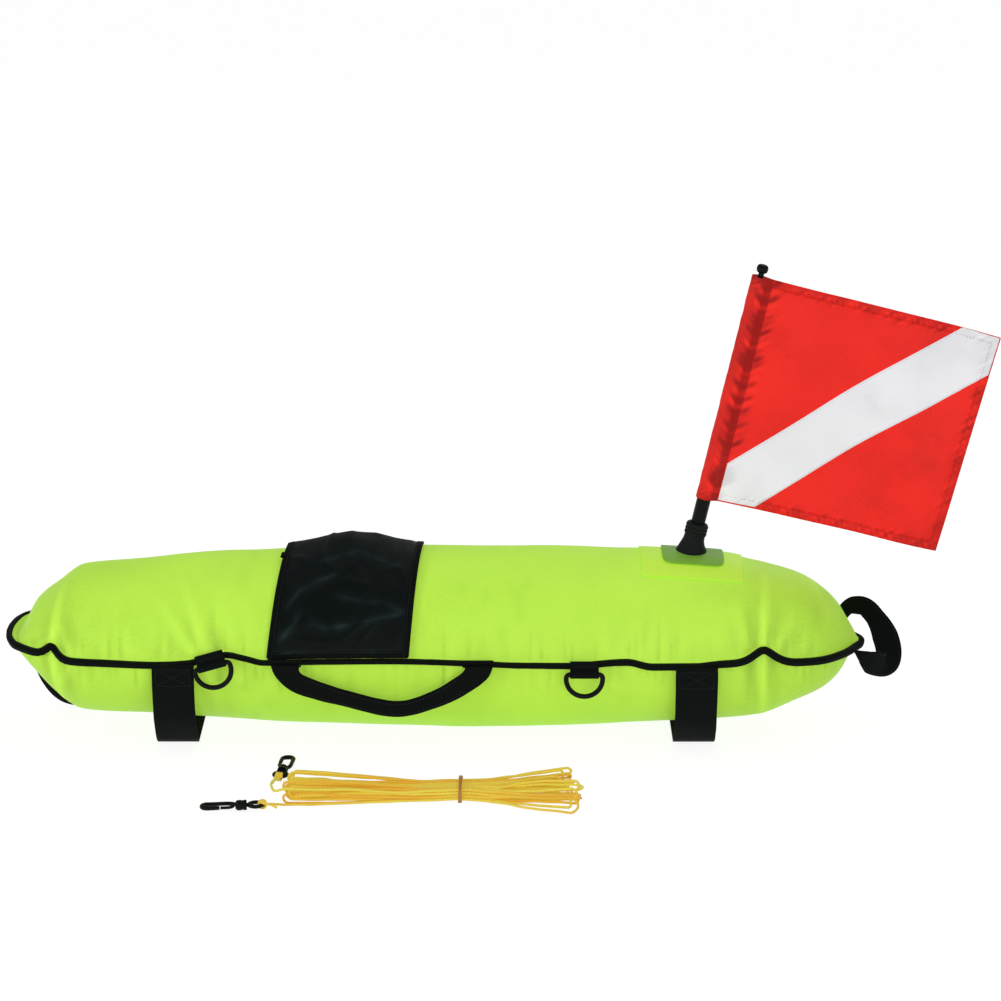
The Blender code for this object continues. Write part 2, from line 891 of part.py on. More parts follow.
def make_gear_strap(name, x):
    edge = widest_edge(x, gear_strap_width / 2)
    half_span = abs(edge[1]) + gap + gear_strap_wall / 2
    middle = gear_strap_wall / 2
    rise = edge[2] + gear_strap_drop_top - middle
    front = [(x, -half_span * out, middle + rise * up) for out, up in gear_strap_shares]
    side = smooth_path(front, gear_strap_steps)
    mirror = [np.array((p[0], -p[1], p[2])) for p in reversed(side)]
    path = side + mirror
    tangents = path_tangents(path)
    tangents[0] = np.array((0.0, 0.0, -1.0))
    tangents[-1] = np.array((0.0, 0.0, 1.0))
    tangents[gear_strap_steps - 1] = np.array((0.0, 1.0, 0.0))
    tangents[gear_strap_steps] = np.array((0.0, 1.0, 0.0))
    rings = []
    for point, along in zip(path, tangents):
        normal = np.cross(along, (1.0, 0.0, 0.0)) * gear_strap_wall / 2
        wide = np.array((gear_strap_width / 2, 0.0, 0.0))
        rings.append([point - wide - normal, point + wide - normal,
                      point + wide + normal, point - wide + normal])
    return add_mesh_object(name, loft(rings), black_webbing)


make_gear_strap("gear_strap_left", gear_strap_left_x)
make_gear_strap("gear_strap_right", gear_strap_right_x)


# Carry handle


def flat_ring_at(point, wide, thick, width, wall):
    """An eight-sided flat section: a rectangle with its corners taken off."""
    a = width / 2
    b = wall / 2
    c = b * 0.55
    shape = ((a, b - c), (a - c, b), (c - a, b), (-a, b - c),
             (-a, c - b), (c - a, -b), (a - c, -b), (a, c - b))
    return [point + wide * u + thick * v for u, v in shape]


def make_carry_handle():
    left = widest_edge(carry_root_left_x, carry_width)
    right = widest_edge(carry_root_left_x + carry_span, carry_width)
    plane_y = min(left[1], right[1]) - seat_gap - carry_web_wall / 2
    root_z = (left[2] + right[2]) / 2
    points = [
        (carry_root_left_x + carry_span * across, plane_y, root_z - carry_drop * down)
        for across, down in carry_shares
    ]
    path = smooth_path(points, carry_steps)
    tangents = path_tangents(path)
    tangents[0] = np.array((0.0, 0.0, -1.0))
    tangents[-1] = np.array((0.0, 0.0, 1.0))
    facing = np.array((0.0, -1.0, 0.0))
    rings = []
    for i, (point, tangent) in enumerate(zip(path, tangents)):
        run = i / (carry_steps - 1)
        padded = min(1.0, max(0.0, 4.5 * min(run, 1 - run) - 0.6))
        wall = carry_web_wall + (carry_grip_wall - carry_web_wall) * padded
        wide = unit(np.cross(facing, tangent))
        rings.append(flat_ring_at(point, wide, facing, carry_width, wall))
    pivot = add_pivot("carry_pivot", (carry_root_left_x + carry_span / 2, plane_y, root_z),
                      (-1.0, 0.0, 0.0))
    add_mesh_object("carry_handle", loft(rings), black_webbing, pivot)


make_carry_handle()


# Loop handles at the two ends


def make_loop_handle(name, first, second, shares, outward_size, rise_size):
    """A webbing loop from one seam root to the other, gathered narrow at its roots."""
    edge_a, out_a, run_a = seam_edge(*first)
    edge_b, out_b, run_b = seam_edge(*second)
    root_a = edge_a + out_a * loop_root_gap
    root_b = edge_b + out_b * loop_root_gap
    chord = root_b - root_a
    outward = unit(np.cross((0.0, 0.0, 1.0), chord))
    if outward.dot(out_a + out_b) < 0:
        outward = -outward
    points = [
        root_a + chord * a + outward * outward_size * o + np.array((0.0, 0.0, rise_size * z))
        for a, o, z in shares
    ]
    path = smooth_path(points, loop_steps)
    tangents = path_tangents(path)
    tangents[0] = out_a
    tangents[-1] = -out_b
    rings = []
    wide = unit(np.cross(tangents[0], np.cross(run_a, tangents[0])))
    for i, (point, tangent) in enumerate(zip(path, tangents)):
        run = i / (loop_steps - 1)
        open_share = min(1.0, 7.0 * min(run, 1 - run))
        width = loop_root_width + (loop_width - loop_root_width) * open_share
        wall = loop_root_wall + (loop_wall - loop_root_wall) * min(1.0, 2 * open_share)
        wanted = unit(np.cross(tangent, (0.0, 1.0, 0.0)))
        if wanted.dot(wide) < 0:
            wanted = -wanted
        blend = min(1.0, open_share * 1.6)
        end_wide = run_a if run < 0.5 else run_b
        if end_wide.dot(wanted) < 0:
            end_wide = -end_wide
        wide = wanted * blend + end_wide * (1 - blend)
        wide = unit(wide - tangent * wide.dot(tangent))
        rings.append(flat_ring_at(point, wide, np.cross(wide, tangent), width, wall))
    pivot = add_pivot(name + "_pivot", (root_a + root_b) / 2, chord)
    return add_mesh_object(name, loft(rings), black_webbing, pivot)


make_loop_handle("end_handle_right", (right_loop_rear_share, True), (right_loop_front_share, False),
                 right_loop_shares, right_loop_reach, right_loop_rise)
make_loop_handle("end_handle_left", (left_loop_nose_share, True), (left_loop_side_share, True),
                 left_loop_shares, left_loop_sweep, left_loop_drop)


# D-rings in sewn tabs


def ring_path():
    """A D: straight bar along X on top, round bow below, about the bar's middle."""
    half = ring_width / 2 - ring_wire / 2
    drop = ring_height - ring_wire
    corner = ring_wire * 0.5
    shape = [(-half + corner, 0.0), (0.0, 0.0), (half - corner, 0.0), (half - corner * 0.2, -corner * 0.3)]
    bow = 12
    for k in range(bow + 1):
        a = math.pi * k / bow
        shape.append((half * math.cos(a), -corner - (drop - corner) * math.sin(a)))
    shape.append((-half + corner * 0.2, -corner * 0.3))
    return shape


def make_ring(side_name, x, tilt, rear):
    edge = widest_edge(x, tab_width * 0.75, rear)
    sign = 1.0 if rear else -1.0
    inner = ring_wire / 2 + gap
    outer = inner + tab_wall
    bar_y = edge[1] + sign * (seat_gap + outer)
    bar_z = edge[2] - tab_drop
    turn = Matrix.Rotation(tilt, 3, "Y")
    centre = Vector((x, bar_y, bar_z))
    pivot = add_pivot("d_ring_pivot_" + side_name, centre, turn @ Vector((sign, 0.0, 0.0)))
    sides = 16
    root = 6
    heel = 8
    stem_top = tab_drop + tab_rise
    angles = [2 * math.pi * k / sides for k in range(sides)]
    bore = [(inner * math.cos(a), inner * math.sin(a)) for a in angles]
    skin = [(outer * math.cos(a), outer * math.sin(a)) for a in angles]
    stem = [(skin[root][0], stem_top), (skin[heel][0], stem_top)]
    bm = bmesh.new()
    ends = []
    for shift in (-tab_width / 2, tab_width / 2):
        ends.append([
            [bm.verts.new(centre + turn @ Vector((shift, sign * u, v))) for u, v in outline]
            for outline in (bore, skin, stem)
        ])
    for rows in ends:
        for k in range(sides):
            n = (k + 1) % sides
            bm.faces.new((rows[0][k], rows[1][k], rows[1][n], rows[0][n]))
        bm.faces.new((rows[1][root], rows[2][0], rows[2][1], rows[1][heel], rows[1][root + 1]))
    outlines = [
        rows[1][:root + 1] + rows[2] + rows[1][heel:] for rows in ends
    ]
    for low, high in ((ends[0][0], ends[1][0]), outlines):
        for k in range(len(low)):
            n = (k + 1) % len(low)
            bm.faces.new((low[k], low[n], high[n], high[k]))
    bmesh.ops.recalc_face_normals(bm, faces=bm.faces)
    add_mesh_object("d_ring_tab_" + side_name, bm, black_webbing)
    path = [np.array(centre + turn @ Vector((u, 0.0, v))) for u, v in ring_path()]
    rings = tube_rings(path, ring_wire / 2, 6, closed=True, facing=np.array((0.0, 1.0, 0.0)))
    add_mesh_object("d_ring_" + side_name, loft(rings, closed=True), black_plastic, pivot)


make_ring("front_left", ring_left_x, ring_left_tilt, False)
make_ring("front_right", ring_right_x, ring_right_tilt, False)
make_ring("rear_left", ring_left_x, ring_left_tilt, True)
make_ring("rear_right", ring_right_x, ring_right_tilt, True)


# Patches and flag socket


def make_patch(name, left, right, half, lift, wall, material):
    rows = []
    for i in range(6):
        x = left + (right - left) * i / 5
        rows.append([
            np.array((x, y, cover_height(x, y) + lift + wall))
            for y in (half * (j / 5 - 1) for j in range(11))
        ])
    bm = sheet(rows, lambda c: (0.0, 0.0, 1.0))
    made = add_mesh_object(name, bm, material)
    thicken(made, wall)


window_lift = patch_gap
patch_lift = window_lift + window_wall + patch_gap
socket_lift = patch_lift + patch_wall + patch_gap
make_patch("window_patch", mast_x - window_half_length, mast_x + window_half_length,
           window_half_width, window_lift, window_wall, nylon_green)
make_patch("socket_base_patch", mast_x - patch_left_reach, mast_x + patch_right_reach,
           patch_half_width, patch_lift, patch_wall, coated_green)

mast_axis = np.array((math.sin(mast_tilt), 0.0, math.cos(mast_tilt)))
mast_across = np.array((math.cos(mast_tilt), 0.0, -math.sin(mast_tilt)))
mast_foot = np.array((mast_x, 0.0, cover_height(mast_x, 0.0) + socket_lift))


def mast_ring(radius, along, sides, level=1.0):
    """A ring round the mast's axis; level 0 lies flat, level 1 lies square to the mast."""
    across = unit(mast_across * level + np.array((1.0, 0.0, 0.0)) * (1 - level))
    centre = mast_foot + mast_axis * along
    return [
        centre + radius * (math.cos(a) * across + math.sin(a) * np.array((0.0, 1.0, 0.0)))
        for a in (2 * math.pi * k / sides for k in range(sides))
    ]


def make_socket():
    sides = 18
    bore = pole_radius + pole_fit
    base = conform_ring(mast_x, socket_base_radius, socket_lift, sides)
    rings = [
        conform_ring(mast_x, socket_base_radius * 0.1, socket_lift, sides),
        conform_ring(mast_x, socket_base_radius * 0.55, socket_lift, sides),
        base,
        [p + np.array((0.0, 0.0, socket_skirt_height)) for p in base],
        mast_ring(socket_base_radius * 0.86, socket_height * 0.17, sides, 0.35),
        mast_ring(socket_waist_radius, socket_height * 0.42, sides, 0.8),
        mast_ring(socket_waist_radius, socket_height * 0.62, sides),
        mast_ring(socket_collar_radius, socket_height * 0.66, sides),
        mast_ring(socket_collar_radius, socket_height, sides),
        mast_ring(bore, socket_height, sides),
        mast_ring(bore, socket_floor, sides),
    ]
    add_mesh_object("flag_socket", loft(rings), black_rubber)


make_socket()


# Pole and its knob cap

mast_pivot = add_pivot("mast_pivot", mast_foot + mast_axis * socket_height, mast_axis)


def make_pole():
    sides = 18
    inner = pole_radius - pole_wall
    plug = neck_radius + gap
    rings = [
        mast_ring(pole_radius, socket_floor + pole_foot_gap, sides),
        mast_ring(pole_radius, pole_top, sides),
        mast_ring(plug, pole_top, sides),
        mast_ring(plug, pole_top - pole_wall * 2, sides),
        mast_ring(inner, pole_top - pole_wall * 2, sides),
        mast_ring(inner, socket_floor + pole_foot_gap, sides),
    ]
    add_mesh_object("flag_pole", loft(rings, closed=True), black_plastic, mast_pivot)
    flag_top = pole_top + gap + sleeve_cap_wall
    foot = flag_top + neck_length
    profile = (
        (0.0, pole_top - neck_plug_depth),
        (neck_radius, pole_top - neck_plug_depth),
        (neck_radius, foot),
        (knob_radius * 0.8, foot),
        (knob_radius, foot + knob_height * 0.2),
        (knob_radius, foot + knob_height * 0.6),
        (knob_radius * 0.7, foot + knob_height * 0.92),
        (0.0, foot + knob_height),
    )
    add_mesh_object("pole_cap", turned(mast_foot, mast_axis, profile, 16), black_plastic, mast_pivot)


make_pole()


# Flag with its sleeve, stripes and top rod

flag_height = pole_top + gap + sleeve_cap_wall - flag_foot
flag_pivot = add_pivot("flag_pivot", mast_foot + mast_axis * flag_foot, mast_axis, mast_pivot)
sleeve_sides = 12
sleeve_inner = (pole_radius + gap) / math.cos(math.pi / sleeve_sides)
sleeve_outer = sleeve_inner + sleeve_wall


def flag_reach(up):
    return flag_reach_bottom + (flag_reach_top - flag_reach_bottom) * up


def flag_swing(reach, up):
    """Sideways place of the flag's middle: soft folds that grow towards the free edge."""
    out = max(0.0, reach - sleeve_outer) / (flag_reach_top - sleeve_outer)
    grow = out * out * (3 - 2 * out)
    first = math.sin(2 * math.pi * (0.95 * out - 0.35 * up))
    second = 0.45 * math.sin(2 * math.pi * (1.7 * out + 0.6 * up) + 1.0)
    return flag_wave * (0.35 + 0.65 * grow) * min(1.0, 4 * out) * (first + second)


def flag_point(reach, rise, side=0.0):
    """Point of the flag: reach from the pole's axis, rise above the flag's foot."""
    up = rise / flag_height
    out = max(0.0, reach - sleeve_outer) / (flag_reach_top - sleeve_outer)
    swing = flag_swing(reach, up)
    place = mast_foot + mast_axis * (flag_foot + rise - flag_fly_drop * out * up)
    place = place + mast_across * reach
    return place + np.array((0.0, swing + side, 0.0))


def make_flag():
    levels = 9
    columns = 13
    around = sleeve_sides
    half = flag_wall / 2
    throat = math.asin(half / sleeve_outer)
    bm = bmesh.new()
    outer_rows = []
    inner_rows = []
    for i in range(levels + 1):
        up = i / levels
        rise = flag_height * up
        reach = flag_reach(up)
        root = sleeve_outer * math.cos(throat)
        spots = [root + (reach - root) * (1 - k / columns) for k in range(columns + 1)]
        front = [flag_point(s, rise, -half) for s in spots[:-1]]
        rear = [flag_point(s, rise, half) for s in reversed(spots[:-1])]
        centre = mast_foot + mast_axis * (flag_foot + rise)
        turn = [
            throat + (2 * math.pi - 2 * throat) * k / around for k in range(around + 1)
        ]
        ring = [
            centre + sleeve_outer * (math.cos(a) * mast_across - math.sin(a) * np.array((0.0, 1.0, 0.0)))
            for a in turn
        ]
        outer_rows.append([bm.verts.new(p) for p in front + ring + rear])
    hole_levels = [(sleeve_inner, flag_height * i / levels) for i in range(levels)]
    hole_levels.append((sleeve_inner, flag_height - sleeve_cap_wall))
    hole_levels.append((neck_radius + gap, flag_height - sleeve_cap_wall))
    hole_levels.append((neck_radius + gap, flag_height))
    for radius, rise in hole_levels:
        centre = mast_foot + mast_axis * (flag_foot + rise)
        inner_rows.append([
            bm.verts.new(
                centre + radius * (math.cos(a) * mast_across - math.sin(a) * np.array((0.0, 1.0, 0.0))))
            for a in turn
        ])
    count = len(outer_rows[0])
    for low, high in zip(outer_rows, outer_rows[1:]):
        for k in range(count):
            n = (k + 1) % count
            bm.faces.new((low[k], low[n], high[n], high[k]))
    for low, high in zip(inner_rows, inner_rows[1:]):
        for k in range(around + 1):
            n = (k + 1) % (around + 1)
            bm.faces.new((low[k], low[n], high[n], high[k]))
    for outer, inner in ((outer_rows[0], inner_rows[0]), (outer_rows[-1], inner_rows[-1])):
        for k in range(columns - 1):
            bm.faces.new((outer[k], outer[k + 1], outer[count - 2 - k], outer[count - 1 - k]))
        first = columns
        last = columns + around
        bm.faces.new((outer[first - 1], outer[first], outer[last], outer[last + 1]))
        for k in range(around):
            bm.faces.new((outer[first + k], outer[first + k + 1], inner[k + 1], inner[k]))
        bm.faces.new((outer[last], outer[first], inner[0], inner[around]))
    bmesh.ops.recalc_face_normals(bm, faces=bm.faces)
    add_mesh_object("flag_cloth", bm, red_nylon, flag_pivot)


make_flag()


def make_stripe(name, side):
    steps = 12
    across = 3
    edge = stripe_edge_gap
    near = sleeve_outer + edge
    top = flag_height - edge
    upper_a = np.array((near, stripe_low_rise))
    lower_a = np.array((stripe_low_reach, edge))
    upper_b = np.array((stripe_high_reach, top))
    lower_b = np.array((flag_reach(stripe_high_rise / pole_top) - edge,
                        stripe_high_rise - flag_foot))
    corner_a = np.array((near, edge))
    corner_b = np.array((flag_reach(1.0) - edge, top))
    lift = side * (flag_wall / 2 + stripe_gap + stripe_wall)
    rows = []
    for i in range(steps + 1):
        upper = upper_a + (upper_b - upper_a) * i / steps
        lower = lower_a + (lower_b - lower_a) * i / steps
        rows.append([upper + (lower - upper) * j / across for j in range(across + 1)])
    bm = bmesh.new()
    grid = [[bm.verts.new(flag_point(p[0], p[1], lift)) for p in row] for row in rows]
    for low, high in zip(grid, grid[1:]):
        for k in range(across):
            bm.faces.new((low[k], low[k + 1], high[k + 1], high[k]))
    for corner, row in ((corner_a, grid[0]), (corner_b, grid[-1])):
        tip = bm.verts.new(flag_point(corner[0], corner[1], lift))
        for k in range(across):
            bm.faces.new((tip, row[k], row[k + 1]))
    bmesh.ops.recalc_face_normals(bm, faces=bm.faces)
    bm.faces.ensure_lookup_table()
    if bm.faces[0].normal[1] * side < 0:
        bmesh.ops.reverse_faces(bm, faces=bm.faces)
    made = add_mesh_object(name, bm, white_nylon, flag_pivot)
    thicken(made, stripe_wall)


make_stripe("stripe_front", -1.0)
make_stripe("stripe_rear", 1.0)


def make_flag_rod():
    lift = flag_wall / 2 + stripe_gap + stripe_wall + seat_gap + rod_radius
    start = sleeve_outer + rod_radius
    end = flag_reach_top - rod_radius
    steps = 14
    path = [
        flag_point(start + (end - start) * k / steps, flag_height - rod_drop, lift)
        for k in range(steps + 1)
    ]
    rings = tube_rings(path, rod_radius, 6, facing=mast_axis)
    add_mesh_object("flag_top_rod", loft(rings), black_plastic, flag_pivot)


make_flag_rod()


# Line hank


def ease(t):
    t = min(1.0, max(0.0, t))
    return t * t * (3 - 2 * t)


def hank_value(x, left, waist, right):
    """A size along the hank, eased from the left end to the waist and on to the right."""
    if x < line_waist_x:
        return left + (waist - left) * ease((x - line_left_x) / (line_waist_x - line_left_x) * 1.15)
    return waist + (right - waist) * ease((x - line_waist_x) / (line_right_x - line_waist_x))


def hank_strand(x, index, layer, level):
    """Place of one strand: its index across, layer 0 or 1, and level -1 low or +1 high."""
    pitch = hank_value(x, line_pitch_left, line_pitch_waist, line_pitch_right)
    opening = hank_value(x, line_open_left, 0.0, line_open_right)
    half = hank_value(x, line_level_left, line_level_waist, line_level_right)
    near = max(0.0, abs(x - line_waist_x) - line_waist_flat) / line_waist_reach
    lift = line_waist_lift * math.exp(-near * near)
    lean = 1.0 if layer == 0 else -1.0
    y = line_y + (index - (line_loops - 1) / 2) * pitch + lean * level * opening
    low = line_diameter / 2 + line_floor_gap + lift
    z = low + half + level * half + layer * (2 * half + line_layer_gap)
    return np.array((x, y, z))


def bight(start, end, outward, steps):
    """A half circle from one strand's end to the next, standing out along X."""
    middle = (start + end) / 2
    arm = (start - end) / 2
    size = np.linalg.norm(arm)
    return [
        middle + arm * math.cos(a) + np.array((outward * size * math.sin(a), 0.0, 0.0))
        for a in (math.pi * k / steps for k in range(1, steps))
    ]


def hank_route():
    """The line's centre: one layer of loops laid side by side, then one back on top of it."""
    run_shares = (0.0, 0.17, 0.36, 0.572, 0.62, 0.80, 1.0)
    climb_start_share = 0.38
    climb_run_share = 0.26
    turn_steps = 6
    xs = [line_left_x + (line_right_x - line_left_x) * s for s in run_shares]
    route = []
    order = [(0, i) for i in range(line_loops)] + [(1, i) for i in reversed(range(line_loops))]
    for place, (layer, index) in enumerate(order):
        low = [hank_strand(x, index, layer, -1.0) for x in xs]
        climbs = layer == 0 and index == line_loops - 1
        if climbs:
            high = []
            for x in reversed(xs):
                back = (line_right_x - x) / (line_right_x - line_left_x)
                shift = ease(back / climb_start_share)
                flat = hank_strand(x, index + shift * climb_side_share, 0, 1.0)
                raised = hank_strand(x, index + climb_side_share, 1, 1.0)
                high.append(flat + (raised - flat) * ease((back - climb_start_share) / climb_run_share))
        else:
            high = [hank_strand(x, index, layer, 1.0) for x in reversed(xs)]
        route += low
        route += bight(low[-1], high[0], 1.0, turn_steps)
        route += high
        if place + 1 < len(order):
            next_layer, next_index = order[place + 1]
            following = hank_strand(line_left_x, next_index, next_layer, -1.0)
            route += bight(high[-1], following, -1.0, turn_steps)
    return route


def least_gap(route, diameter, skip):
    """Least free gap between stretches of the line that aren't neighbours."""
    pts = np.array(route)
    a = pts[:-1]
    d = pts[1:] - a
    count = len(a)
    least = float("inf")
    for i in range(count - skip):
        b = a[i + skip:]
        e = d[i + skip:]
        r = a[i] - b
        aa = float(d[i] @ d[i])
        ee = np.einsum("ij,ij->i", e, e)
        f = np.einsum("ij,ij->i", e, r)
        c = r @ d[i]
        mixed = e @ d[i]
        denominator = np.maximum(aa * ee - mixed * mixed, np.finfo(float).tiny)
        s = np.clip((mixed * f - c * ee) / denominator, 0.0, 1.0)
        t = np.clip((mixed * s + f) / ee, 0.0, 1.0)
        s = np.clip((mixed * t - c) / aa, 0.0, 1.0)
        away = np.linalg.norm(r + s[:, None] * d[i] - t[:, None] * e, axis=1)
        least = min(least, float(away.min()))
    return least - diameter


def clip_local(place, direction, side):
    """A function from a clip's own places (along, across, up) to world places."""
    direction = unit(direction)
    side = unit(side)
    return lambda along, across, up=0.0: (
        np.array(place) + direction * along + side * across + np.array((0.0, 0.0, up))
    )


clip_height = clip_barrel_radius + line_floor_gap
clip_eye_outer = clip_eye_radius + clip_wire_radius


def curve_tube(name, route, diameter, material, parent):
    curve = bpy.data.curves.new(name, "CURVE")
    curve.dimensions = "3D"
    curve.bevel_depth = diameter / 2
    curve.bevel_resolution = 1
    curve.use_fill_caps = True
    spline = curve.splines.new("POLY")
    spline.points.add(len(route) - 1)
    for point, place in zip(spline.points, route):
        point.co = (*place, 1.0)
    made = bpy.data.objects.new(name, curve)
    bpy.context.scene.collection.objects.link(made)
    made.data.materials.append(material)
    keep_place(made, parent)
    return made


line_pivot = add_pivot("line_pivot", (line_waist_x, line_y, 0.0), (0.0, 0.0, 1.0))
hank_points = hank_route()
line_start = hank_points[0]
line_end = hank_points[-1]
clip_a_place = line_start + np.array((-clip_lead, -clip_lead * 0.35, clip_height - line_start[2]))
clip_b_place = np.array((line_left_x - clip_lead * 0.55,
                         line_y + line_pitch_left * line_loops * 0.5 + clip_lead * 0.9, clip_height))
clip_a_way = unit((-1.0, -0.12, 0.0))
clip_b_way = unit((0.10, 1.0, 0.0))


def lead_in(strand_end, eye, way, between):
    """The line's tail: from a clip's eye to a strand's end, leaving each one straight."""
    straight = eye - way * line_diameter
    near = strand_end - np.array((line_diameter, 0.0, 0.0))
    return [eye] + smooth_path([straight] + between + [near, strand_end], 10)


def make_line():
    eye_a = clip_a_place
    eye_b = clip_b_place
    clear_x = line_left_x - line_open_left - line_level_left - line_diameter * 3
    turn_a = line_end + np.array((clear_x - line_end[0] + line_diameter, line_diameter, -line_diameter))
    turn_b = np.array((clear_x - line_diameter, (line_end[1] + eye_b[1]) / 2, (line_end[2] + eye_b[2]) / 2))
    head = lead_in(line_start, eye_a, clip_a_way, [])
    tail = lead_in(line_end, eye_b, clip_b_way, [turn_b, turn_a])
    route = head[:-1] + hank_points + tail[::-1][1:]
    made = curve_tube("float_line", route, line_diameter, yellow_rope, line_pivot)
    length = sum(np.linalg.norm(b - a) for a, b in zip(route, route[1:]))
    print("line: length", round(float(length), 3), "m, least gap to itself",
          round(least_gap(route, line_diameter, 6) * 1000, 3), "mm")
    return made


make_line()


def make_band():
    """A rubber band round the hank's waist."""
    low = hank_strand(line_waist_x, 0, 0, -1.0)
    high = hank_strand(line_waist_x, line_loops - 1 + climb_side_share, 1, 1.0)
    pad = line_diameter / 2 + band_gap
    y0 = low[1] - pad
    y1 = high[1] + pad
    z0 = low[2] - pad
    z1 = high[2] + pad
    corner = line_diameter
    rings = []
    for cy, cz, start in ((y1 - corner, z1 - corner, 0), (y0 + corner, z1 - corner, 1),
                          (y0 + corner, z0 + corner, 2), (y1 - corner, z0 + corner, 3)):
        for k in range(4):
            a = math.pi / 2 * (start + k / 3)
            out = np.array((0.0, math.cos(a), math.sin(a)))
            place = np.array((line_waist_x, cy, cz)) + out * corner
            half = np.array((band_width / 2, 0.0, 0.0))
            rings.append([place - half, place + half,
                          place + half + out * band_wall, place - half + out * band_wall])
    add_mesh_object("line_band", loft(rings, closed=True), brown_rubber, line_pivot)


make_band()


# Swivel snap clips


def make_clip(letter, place, way):
    side = np.cross((0.0, 0.0, 1.0), way)
    at = clip_local(place, way, side)
    eye_centre = clip_eye_outer + gap
    path = [
        at(eye_centre - clip_eye_radius * math.cos(a), clip_eye_radius * math.sin(a))
        for a in (2 * math.pi * k / 18 for k in range(18))
    ]
    ring = loft(tube_rings(path, clip_wire_radius, 6, closed=True, facing=np.array((0.0, 0.0, 1.0))),
                closed=True)
    eye = add_mesh_object("clip_eye_" + letter, ring, black_plastic, line_pivot)
    barrel_start = eye_centre + clip_eye_outer + gap
    stem_end = barrel_start + clip_barrel_wall + gap + clip_head_length
    stem = turned(at(0.0, 0.0), way, (
        (0.0, eye_centre + clip_eye_radius),
        (clip_stem_radius, eye_centre + clip_eye_radius),
        (clip_stem_radius, stem_end - clip_head_length),
        (clip_head_radius, stem_end - clip_head_length),
        (clip_head_radius, stem_end),
        (0.0, stem_end),
    ), 12)
    stem_object = add_mesh_object("clip_stem_cutter_" + letter, stem, black_plastic)
    stem_object.hide_render = True
    stem_object.display_type = "WIRE"
    join = eye.modifiers.new("stem", "BOOLEAN")
    join.operation = "UNION"
    join.solver = "EXACT"
    join.object = stem_object
    pivot = add_pivot("clip_pivot_" + letter, at(barrel_start, 0.0), way, line_pivot)
    barrel_end = barrel_start + clip_barrel_length
    bore_end = stem_end + gap
    barrel = turned(at(0.0, 0.0), way, (
        (0.0, bore_end),
        (clip_head_radius + gap, bore_end),
        (clip_head_radius + gap, barrel_start + clip_barrel_wall),
        (clip_stem_radius + gap, barrel_start + clip_barrel_wall),
        (clip_stem_radius + gap, barrel_start),
        (clip_barrel_radius, barrel_start),
        (clip_barrel_radius, barrel_end - clip_barrel_wall),
        (clip_wire_radius * 1.4, barrel_end),
        (0.0, barrel_end),
    ), 16)
    hook = add_mesh_object("clip_hook_" + letter, barrel, black_plastic, pivot)
    nose = barrel_start + clip_hook_length
    spine = [(barrel_end - clip_barrel_wall * 2, 0.0)]
    spine += [(barrel_end + clip_barrel_wall, -clip_hook_radius * 0.7)]
    spine += [(barrel_end + clip_barrel_wall * 3, -clip_hook_radius), (nose, -clip_hook_radius)]
    spine += [
        (nose + clip_hook_radius * math.sin(a), -clip_hook_radius * math.cos(a))
        for a in (math.pi * k / 7 for k in range(1, 8))
    ]
    spine.append((nose - clip_hook_return / 2, clip_hook_radius))
    spine.append((nose - clip_hook_return, clip_hook_radius))
    path = [at(u, v) for u, v in spine]
    arm = loft(tube_rings(path, clip_wire_radius, 6, facing=np.array((0.0, 0.0, 1.0))))
    arm_object = add_mesh_object("clip_arm_cutter_" + letter, arm, black_plastic)
    arm_object.hide_render = True
    arm_object.display_type = "WIRE"
    join = hook.modifiers.new("arm", "BOOLEAN")
    join.operation = "UNION"
    join.solver = "EXACT"
    join.object = arm_object
    gate_foot = (barrel_end + clip_barrel_wall * 1.2, clip_gate_radius * 1.6)
    gate_tip = (nose - clip_hook_return - clip_gate_gap, clip_hook_radius)
    gate_pivot = add_pivot("gate_pivot_" + letter, at(*gate_foot), (0.0, 0.0, 1.0), pivot)
    path = [
        at(gate_foot[0] + (gate_tip[0] - gate_foot[0]) * s, gate_foot[1] + (gate_tip[1] - gate_foot[1]) * t)
        for s, t in ((0.0, 0.0), (0.25, 0.75), (0.5, 1.0), (1.0, 1.0))
    ]
    gate = loft(tube_rings(path, clip_gate_radius, 8, facing=np.array((0.0, 0.0, 1.0))))
    add_mesh_object("clip_gate_" + letter, gate, black_plastic, gate_pivot)


make_clip("a", clip_a_place, clip_a_way)
make_clip("b", clip_b_place, clip_b_way)

bpy.context.view_layer.update()
for made in bpy.data.objects:
    if made.type == "EMPTY":
        made.empty_display_size = ring_wire
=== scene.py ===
# %% [markdown]
# # A dive flag float, dressed for its picture
# The solids of the float are already built, to size and with their joints. This file
# puts the real surfaces on them: sewn nylon, webbing, rope, rubber and moulded plastic.
# It loads the solids as a fixed frame first. All sizes are in metres.

# %% Load the frame
import json
import math

import bmesh
import bpy
import numpy as np
from mathutils import Matrix, Vector, noise

